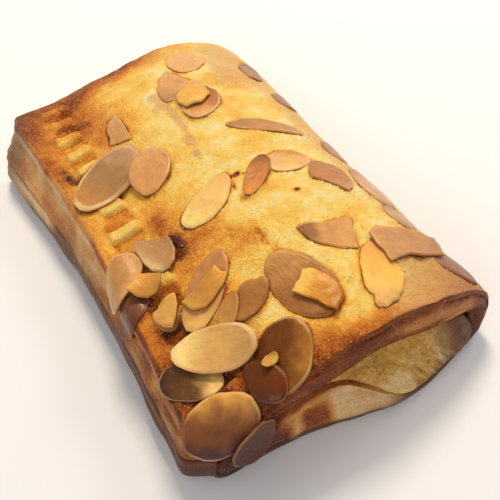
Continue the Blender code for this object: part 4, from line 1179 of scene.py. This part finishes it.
def pasteMaterial():
    # ground almonds and sugar, baked soft: grainy, moist and a little see-through
    made, tree = newMaterial("bakedAlmondPaste")
    coords = addNode(tree, "ShaderNodeTexCoord")
    place = addNode(tree, "ShaderNodeMapping", {
        "Vector": coords.outputs["Object"], "Scale": toMillimetres})
    pale = addNode(tree, "ShaderNodeAttribute", attribute_name="pale")
    shade = addNode(tree, "ShaderNodeAttribute", attribute_name="shade")
    # crumbs of 1.2 mm, almond grit of 0.9 mm and a grain of 0.3 mm
    crumb = addNode(tree, "ShaderNodeTexNoise", {"Vector": place, "Scale": 0.8, "Detail": 4.0,
                                                 "Roughness": 0.65})
    fine = addNode(tree, "ShaderNodeTexNoise", {"Vector": place, "Scale": 3.0, "Detail": 3.0})
    grit = addNode(tree, "ShaderNodeTexVoronoi", {"Vector": place, "Scale": 1.1},
                   feature="SMOOTH_F1")
    tone = pale.outputs["Fac"]
    for source, amount in ((crumb, 0.9), (fine, 0.4)):
        tone = addNode(tree, "ShaderNodeMath", {0: source, 1: amount, 2: tone},
                       operation="MULTIPLY_ADD")
    tone = addNode(tree, "ShaderNodeMath", {0: tone, 1: 0.65}, operation="SUBTRACT")
    colour = addNode(tree, "ShaderNodeValToRGB", {"Fac": tone}, stops=pasteColours["paste"])
    colour = addNode(tree, "ShaderNodeMix", {
        0: shade.outputs["Fac"], 6: colour, 7: hexColour(pasteColours["shade"])},
        data_type="RGBA")
    height = crumb
    for source, amount in ((grit, -0.7), (fine, 0.35)):
        height = addNode(tree, "ShaderNodeMath", {0: source, 1: amount, 2: height},
                         operation="MULTIPLY_ADD")
    bump = addNode(tree, "ShaderNodeBump", {"Height": height, "Strength": 1.0,
                                            "Distance": 0.0008})
    # less coat where the shade of the fold is painted in
    moist = addNode(tree, "ShaderNodeMapRange", {"Value": shade.outputs["Fac"], "To Min": 0.4,
                                                 "To Max": 0.02})
    shader = addNode(tree, "ShaderNodeBsdfPrincipled", {
        "Base Color": colour.outputs[2], "Roughness": 0.30, "Normal": bump, "IOR": 1.46,
        "Specular IOR Level": 0.30, "Specular Tint": hexColour(pasteColours["shine"]),
        "Coat Weight": moist, "Coat Roughness": 0.15, "Subsurface Weight": 0.3,
        "Subsurface Radius": (0.003, 0.002, 0.0008), "Subsurface Scale": 1.0})
    addNode(tree, "ShaderNodeOutputMaterial", {"Surface": shader})
    return made


def crumbMaterial():
    # broken flakes of the browned crust: dry, matt and toasted, each of its own tone
    made, tree = newMaterial("bakedCrumbs")
    coords = addNode(tree, "ShaderNodeTexCoord")
    toast = addNode(tree, "ShaderNodeTexNoise", {"Vector": coords.outputs["Object"],
                                                 "Scale": 400.0, "Detail": 3.0})
    colour = addNode(tree, "ShaderNodeValToRGB", {"Fac": toast}, stops=(
        (0.3, "#7A3E18"), (0.55, "#B5702E"), (0.75, "#D79A4E")))
    shader = addNode(tree, "ShaderNodeBsdfPrincipled", {
        "Base Color": colour, "Roughness": 0.6, "Specular IOR Level": 0.3, "IOR": 1.45})
    addNode(tree, "ShaderNodeOutputMaterial", {"Surface": shader})
    return made


def boiledSugarMaterial(name, colour, roughness, clear):
    # sugar that boiled up and set: amber grains and dark, slightly clear caramel, both glossy
    made, tree = newMaterial(name)
    shader = addNode(tree, "ShaderNodeBsdfPrincipled", {
        "Base Color": hexColour(colour), "Roughness": roughness, "Coat Weight": 0.25,
        "Coat Roughness": 0.03, "Transmission Weight": clear, "IOR": 1.49,
        "Specular Tint": hexColour("#FFC890")})
    addNode(tree, "ShaderNodeOutputMaterial", {"Surface": shader})
    return made


pastry, almond = pastryMaterial(), almondMaterial()
paste, crumb = pasteMaterial(), crumbMaterial()
syrup = boiledSugarMaterial("caramelSyrup", "#54230C", 0.10, 0.15)
sugar = boiledSugarMaterial("meltedSugarGrains", "#F2A94C", 0.20, 0.0)

addPiece("crust", crustPoints, crustFaces, pastry, ["pastry"], crustLayer)
for item in laidSlices:
    points, faces, info = item["mesh"]
    fibre = np.column_stack([info[:, 0] * 0.22, info[:, 1] * 0.9,
                             np.full(len(info), item["number"] * 3.0)])
    least, more, most = toasting["rimPale"]
    rimPale = min(least + more * item["rim"], most)
    spots = np.column_stack([info[:, :2], fibre[:, 2]])
    patchy = np.clip(1 + toasting["rimPatch"] * perlin(spots, 7.0), 0.2, 1.7)
    rimFrom = toasting["rimFrom"] - toasting["rimWidth"] * item["rim"]
    rim = np.column_stack([info[:, 2], np.full(len(info), rimFrom), rimPale * patchy])
    number = f"{item['number']:02d}"
    addPiece("almondSlice" + number, points, faces, almond,
             ["almond_slice_" + number],
             {"toast": toastColours(item, info), "fibre": fibre, "rim": rim,
              "wet": np.full(len(info), max(item["syrup"], toasting["leastWet"]))})
print("crust and slices made")


# The filling runs through the hollow, with a lumpy face at each end.
filling = {"left": -12.5, "mouthLeft": -3.0, "right": 39.2, "turn": 35.0, "taper": 0.5,
           "thin": 0.1, "gap": 0.25, "inset": 1.2, "bulge": 1.4, "lump": 1.2, "across": 90,
           "faceRings": 46, "sag": 1.2, "foldFill": 1.0, "heap": 0.9, "fibre": 0.25,
           "rings": (-58, -54, -50, -44, -25, 5, 30, 50, 57, 62)}


def fillingSection(y):
    # the filling across the roll: it fits the hollow and thins out towards the fold
    t = np.arange(filling["across"]) / (filling["across"] - 1)
    left = mix(filling["left"], filling["mouthLeft"], atMouth(y))
    x = left + (filling["right"] - left) * (1 - (1 - t) ** 1.3)
    roof = hollowLine(x, y, 1) - filling["gap"]
    floor = hollowLine(x, y, -1) + filling["gap"]
    t = np.clip((x - filling["turn"]) / (filling["right"] - filling["turn"]), 0, 1)
    roof = floor + (roof - floor) * np.maximum((1 - t * t) ** filling["taper"], filling["thin"])
    return x, roof, floor


def tornFibres(x, y, z):
    # strands where the paste tore, low on its right side
    strands = perlin(np.column_stack([x + 0.6 * z, y, z * 0.3]), 0.9)
    return strands * smooth(17, 21, x) * smooth(9.5, 6, z)


def makeFilling():
    near, far = roll["nearEnd"] + filling["inset"], roll["farEnd"] - filling["inset"]
    rings = []
    shares = np.linspace(0.03, 0.99, filling["faceRings"])

    def addFace(y, outward, order):
        bx, roof, floor = fillingSection(y)
        middle = (roof + floor) / 2
        x, z = np.concatenate([bx, bx[::-1]]), np.concatenate([roof, floor[::-1]])
        for share in order:
            px = bx.mean() + (x - bx.mean()) * share
            heart = np.interp(px, bx, middle)
            pz = heart + (z - np.interp(x, bx, middle)) * share
            spots = np.column_stack([px, np.full(len(px), outward * 30.0), pz])
            lump = filling["lump"] * perlin(spots, 6.5) + 1.0 * perlin(spots, 2.8, 5.0)
            lump += 0.4 * perlin(spots, 1.1, 9.0)
            lump += filling["heap"] * np.exp(-((px - 14) / 4.6) ** 6 - ((pz - 6.0) / 3.0) ** 6)
            lump += filling["fibre"] * tornFibres(px, 0 * px, pz)
            out = filling["bulge"] * math.sqrt(1 - share) + lump * (1 - share ** 4)
            if outward < 0:  # it sags over the lower sheet on the right
                sag = smooth(9, 3, pz) * smooth(7, 13, px) * smooth(0.3, 0.8, share)
                out += filling["sag"] * sag * smooth(1.0, 0.96, share)
                out += filling["foldFill"] * smooth(29, 34, px)
            rings.append(np.column_stack([px, y + outward * out + reach(px, y, pz), pz]))

    addFace(near, -1, shares)
    for y in (near, *filling["rings"], far):
        x, roof, floor = fillingSection(y)
        x, z = np.concatenate([x, x[::-1]]), np.concatenate([roof, floor[::-1]])
        rings.append(np.column_stack([x, y + reach(x, y, z), z]))
    addFace(far, 1, shares[::-1])
    n = 2 * filling["across"]
    points, faces = np.concatenate(rings), []
    for i in range(len(rings) - 1):
        faces += ringFaces(i * n, (i + 1) * n, n)
    hubs = []
    for first, flip in ((0, True), ((len(rings) - 1) * n, False)):
        hub = len(points) + len(hubs)
        hubs.append(points[first:first + n].mean(axis=0))
        for i in range(n):
            a, b = first + i, first + (i + 1) % n
            faces.append((hub, b, a) if flip else (hub, a, b))
    return np.clip(np.concatenate([points, hubs]), boxLow, boxHigh), faces


def fillingLayers(p):
    # how pale the paste is, and how far the shade of the fold darkens it
    x, y, z = p.T
    pale = 0.34 + 0.25 * perlin(p, 7.0, 71.0)
    pale += 0.40 * np.exp(-((x - 14) / 5) ** 2 - ((z - 6.0) / 3.5) ** 2)  # the heap
    pale += 0.12 * smooth(20, 32, x)
    pale += 0.5 * tornFibres(x, 0 * y, z)
    pale -= 0.2 * np.exp(-((np.hypot((x - 14) / 1.5, z - 6.0) - 4.0) / 0.7) ** 2)  # round the heap
    pale -= 0.20 * np.exp(-((x - 9) / 6) ** 2 - ((z - 13.5) / 2.2) ** 2)
    rise = curve(mouth["x"], mouth["floor"], np.clip(x, -16, 33))
    shade = smooth(4.6, 0.8, z - rise) * smooth(15, 24, x)
    shade = np.maximum(shade, 1.12 * smooth(25, 34, x)) * (y < 0)
    return {"pale": np.clip(pale, 0, 1), "shade": 0.85 * np.clip(shade, 0, 1.15)}


fillPoints, fillFaces = makeFilling()
addPiece("filling", fillPoints, fillFaces, paste, ["almond_paste"],
         fillingLayers(fillPoints))
print("filling made")


drops = (  # syrup that stands on the top: x, y, radius along X, radius along Y, turn, height
    (-12.7, -12.8, 1.0, 3.6, 6, 0.45), (-28.6, 31.0, 0.6, 1.6, -10, 0.2),
)


def makeDrops():
    trees = [treeOf(crustPoints, crustFaces)] + sliceTrees
    points, faces, sides, rings, uneven = [], [], 32, 9, 0.3
    for x, y, rx, ry, turn, height in drops:
        first, c, s = len(points), math.cos(math.radians(turn)), math.sin(math.radians(turn))
        for ring in range(rings):
            share = ring / (rings - 1)
            for i in range(sides if ring else 1):
                a = 2 * math.pi * i / sides
                spot = Vector((math.cos(a) * 1.6, math.sin(a) * 1.6, x))
                wave = 1 + uneven * noise.noise(spot)
                dx, dy = rx * share * wave * math.cos(a), ry * share * wave * math.sin(a)
                px, py = x + dx * c - dy * s, y + dx * s + dy * c
                hit = nearestHit(trees, Vector((px, py, rayHeight)), Vector((0, 0, -1)))
                dome = height * (1 - share ** 2) ** 0.7 - 0.12 * share ** 4
                points.append((px, py, rayHeight - hit[3] + dome))
        faces += [(first, first + 1 + i, first + 1 + (i + 1) % sides) for i in range(sides)]
        for ring in range(rings - 2):
            a = first + 1 + ring * sides
            faces += [(a + i, a + sides + i, a + sides + (i + 1) % sides, a + (i + 1) % sides)
                      for i in range(sides)]
    addPiece("syrupPools", points, faces, syrup)
    return np.array(points), faces


dropPoints, dropFaces = makeDrops()
print("syrup made")


grains = {  # grains for each square millimetre, smallest and largest radius in millimetres
    "sugarGrains": {"Density": 0.70, "Smallest": 0.08, "Largest": 0.22, "Seed": 3},
    "syrupBubbles": {"Density": 2.4, "Smallest": 0.08, "Largest": 0.26, "Seed": 5},
    "crustCrumbs": {"Density": 0.020, "Smallest": 0.14, "Largest": 0.45, "Seed": 8},
}
sugarSpots = (  # x, y, radius along X, radius along Y, strength: where it boiled up and set
    (-13.0, 40.5, 1.4, 4.5, 0.6), (-8.0, 21.5, 1.2, 3.0, 0.7), (-13.5, -0.5, 3.0, 6.0, 0.7),
    (-17.0, -24.0, 2.0, 4.0, 0.5), (-15.0, -22.0, 1.4, 4.0, 0.5), (-28.0, -8.0, 3.0, 3.0, 0.4),
    (-8.0, 4.0, 1.6, 5.0, 0.5), (-24.0, 44.0, 3.0, 8.0, 0.3),
)


def strewTree():
    # one small grain at each random point of the faces, each with its own size and turn
    tree = bpy.data.node_groups.new("strewGrains", "GeometryNodeTree")
    for name, kind in (("Geometry", "Geometry"), ("Density", "Float"), ("Smallest", "Float"),
                       ("Largest", "Float"), ("Seed", "Int"), ("Material", "Material")):
        tree.interface.new_socket(name, in_out="INPUT", socket_type="NodeSocket" + kind)
    tree.interface.new_socket("Geometry", in_out="OUTPUT", socket_type="NodeSocketGeometry")
    given = addNode(tree, "NodeGroupInput").outputs
    spots = addNode(tree, "GeometryNodeDistributePointsOnFaces", {
        "Mesh": given["Geometry"], "Density": given["Density"], "Seed": given["Seed"]})
    grain = addNode(tree, "GeometryNodeMeshIcoSphere", {"Radius": 1.0, "Subdivisions": 1})
    size = addNode(tree, "FunctionNodeRandomValue", {
        0: given["Smallest"], 1: given["Largest"], "Seed": given["Seed"]},
        data_type="FLOAT_VECTOR")
    turn = addNode(tree, "FunctionNodeRandomValue", {
        0: (0.0, 0.0, 0.0), 1: (6.283, 6.283, 6.283), "Seed": given["Seed"]},
        data_type="FLOAT_VECTOR")
    placed = addNode(tree, "GeometryNodeInstanceOnPoints", {
        "Points": spots, "Instance": grain, "Rotation": turn, "Scale": size})
    real = addNode(tree, "GeometryNodeRealizeInstances", {"Geometry": placed})
    dressed = addNode(tree, "GeometryNodeSetMaterial", {"Geometry": real,
                                                        "Material": given["Material"]})
    addNode(tree, "NodeGroupOutput", {"Geometry": dressed})
    return tree


def strew(name, points, faces, material, slotName):
    values = dict(grains[name], Material=material)
    values["Density"] *= 1e6  # for each square metre
    for size in ("Smallest", "Largest"):
        values[size] *= 0.001
    ground = newObject(name + "Bed", toMetres(points), faces)
    modifier = ground.modifiers.new("strew", "NODES")
    modifier.node_group = grainTree
    for item in grainTree.interface.items_tree:
        if item.in_out == "INPUT" and item.name in values:
            modifier[item.identifier] = values[item.name]
    ground.update_tag()
    done = ground.evaluated_get(bpy.context.evaluated_depsgraph_get())
    made = bpy.data.objects.new(name, bpy.data.meshes.new_from_object(done))
    bpy.data.objects.remove(ground)
    scene.collection.objects.link(made)
    print(name, len(made.data.polygons), "faces")
    finishPiece(made)


def crustPatch(amount):
    # the crust's faces picked by their corners' mean amount
    picked = [f for f in crustFaces if amount[list(f)].mean() > 0.5]
    used = sorted({i for f in picked for i in f})
    place = {old: new for new, old in enumerate(used)}
    return crustPoints[used], [tuple(place[i] for i in f) for f in picked]


grainTree = strewTree()
top = crustZone < 0.5
clearOfSlices = smooth(0.2, 0.6, gapToSlices(crustPoints))
sugared = crustLayer["bake"] + 0.5 * perlin(crustPoints, 5.0, 77.0)
sugared += sumOf(sugarSpots, crustPoints)
browned = top * clearOfSlices * (sugared > 0.42)
strew("sugarGrains", *crustPatch(browned), sugar, "baked_puff_pastry")
strew("syrupBubbles", dropPoints, dropFaces, syrup, "baked_puff_pastry")
ends = (crustZone == 2.0) * (crustPoints[:, 2] > 6) * (np.abs(crustPoints[:, 1] + 30) < 35)
scorched = top * (crustLayer["bake"] > 0.5) * (crustPoints[:, 1] < 66)
strew("crustCrumbs", *crustPatch((ends + scorched) * clearOfSlices), crumb, "baked_puff_pastry")
print("grains strewn")


studio = {"floor": "#F6F4F2", "floorSize": 3.0, "world": "#FFFFFF", "worldStrength": 0.42}


def makeStudio():
    s = studio["floorSize"]
    floor = newObject("floor", [(-s, -s, 0), (s, -s, 0), (s, s, 0), (-s, s, 0)], [(0, 1, 2, 3)])
    made, tree = newMaterial("mattWhiteBoard")  # plain and matt, so it only takes the shadow
    shader = addNode(tree, "ShaderNodeBsdfPrincipled", {"Base Color": hexColour(studio["floor"]),
                                                        "Roughness": 0.85})
    addNode(tree, "ShaderNodeOutputMaterial", {"Surface": shader})
    floor.data.materials.append(made)
    world = bpy.data.worlds.new("studio")
    world.use_nodes = True
    background = world.node_tree.nodes["Background"]
    background.inputs["Color"].default_value = hexColour(studio["world"])
    background.inputs["Strength"].default_value = studio["worldStrength"]
    scene.world = world


lamps = (  # name, azimuth and height of where it hangs in degrees, distance, size, watts, colour
    ("window", 35.0, 55.0, 0.9, 0.24, 5.4, "#FFF1DC"),
    ("behind", 75.0, 40.0, 0.8, 0.20, 1.0, "#FFFFFF"),
    ("fill", -125.0, 28.0, 1.0, 0.6, 1.9, "#F6EEF4"),
)


def hangLamps():
    for name, azimuth, height, distance, size, power, colour in lamps:
        data = bpy.data.lights.new(name, "AREA")
        data.shape, data.size, data.energy = "DISK", size, power
        data.color = hexColour(colour)[:3]
        lamp = bpy.data.objects.new(name, data)
        a, e = math.radians(azimuth), math.radians(height)
        way = Vector((math.sin(a) * math.cos(e), math.cos(a) * math.cos(e), math.sin(e)))
        lamp.location = way * distance
        lamp.rotation_euler = way.to_track_quat("Z", "Y").to_euler()
        scene.collection.objects.link(lamp)


view = {"sensor": 36.0, "lens": 44.25, "place": (-0.032191, -0.116377, 0.138620),
        "right": (0.86268, -0.48794, -0.13306), "up": (0.45621, 0.63719, 0.62118)}


def placeCamera():
    data = bpy.data.cameras.new("camera")
    data.sensor_width, data.lens = view["sensor"], view["lens"]
    camera = bpy.data.objects.new("camera", data)
    right, up = Vector(view["right"]), Vector(view["up"])
    turned = Matrix((right, up, right.cross(up))).transposed().to_4x4()
    camera.matrix_world = Matrix.Translation(view["place"]) @ turned
    scene.collection.objects.link(camera)
    scene.camera = camera


makeStudio()
hangLamps()
placeCamera()
scene.view_settings.view_transform = "Standard"
print("studio set")

bpy.context.view_layer.update()
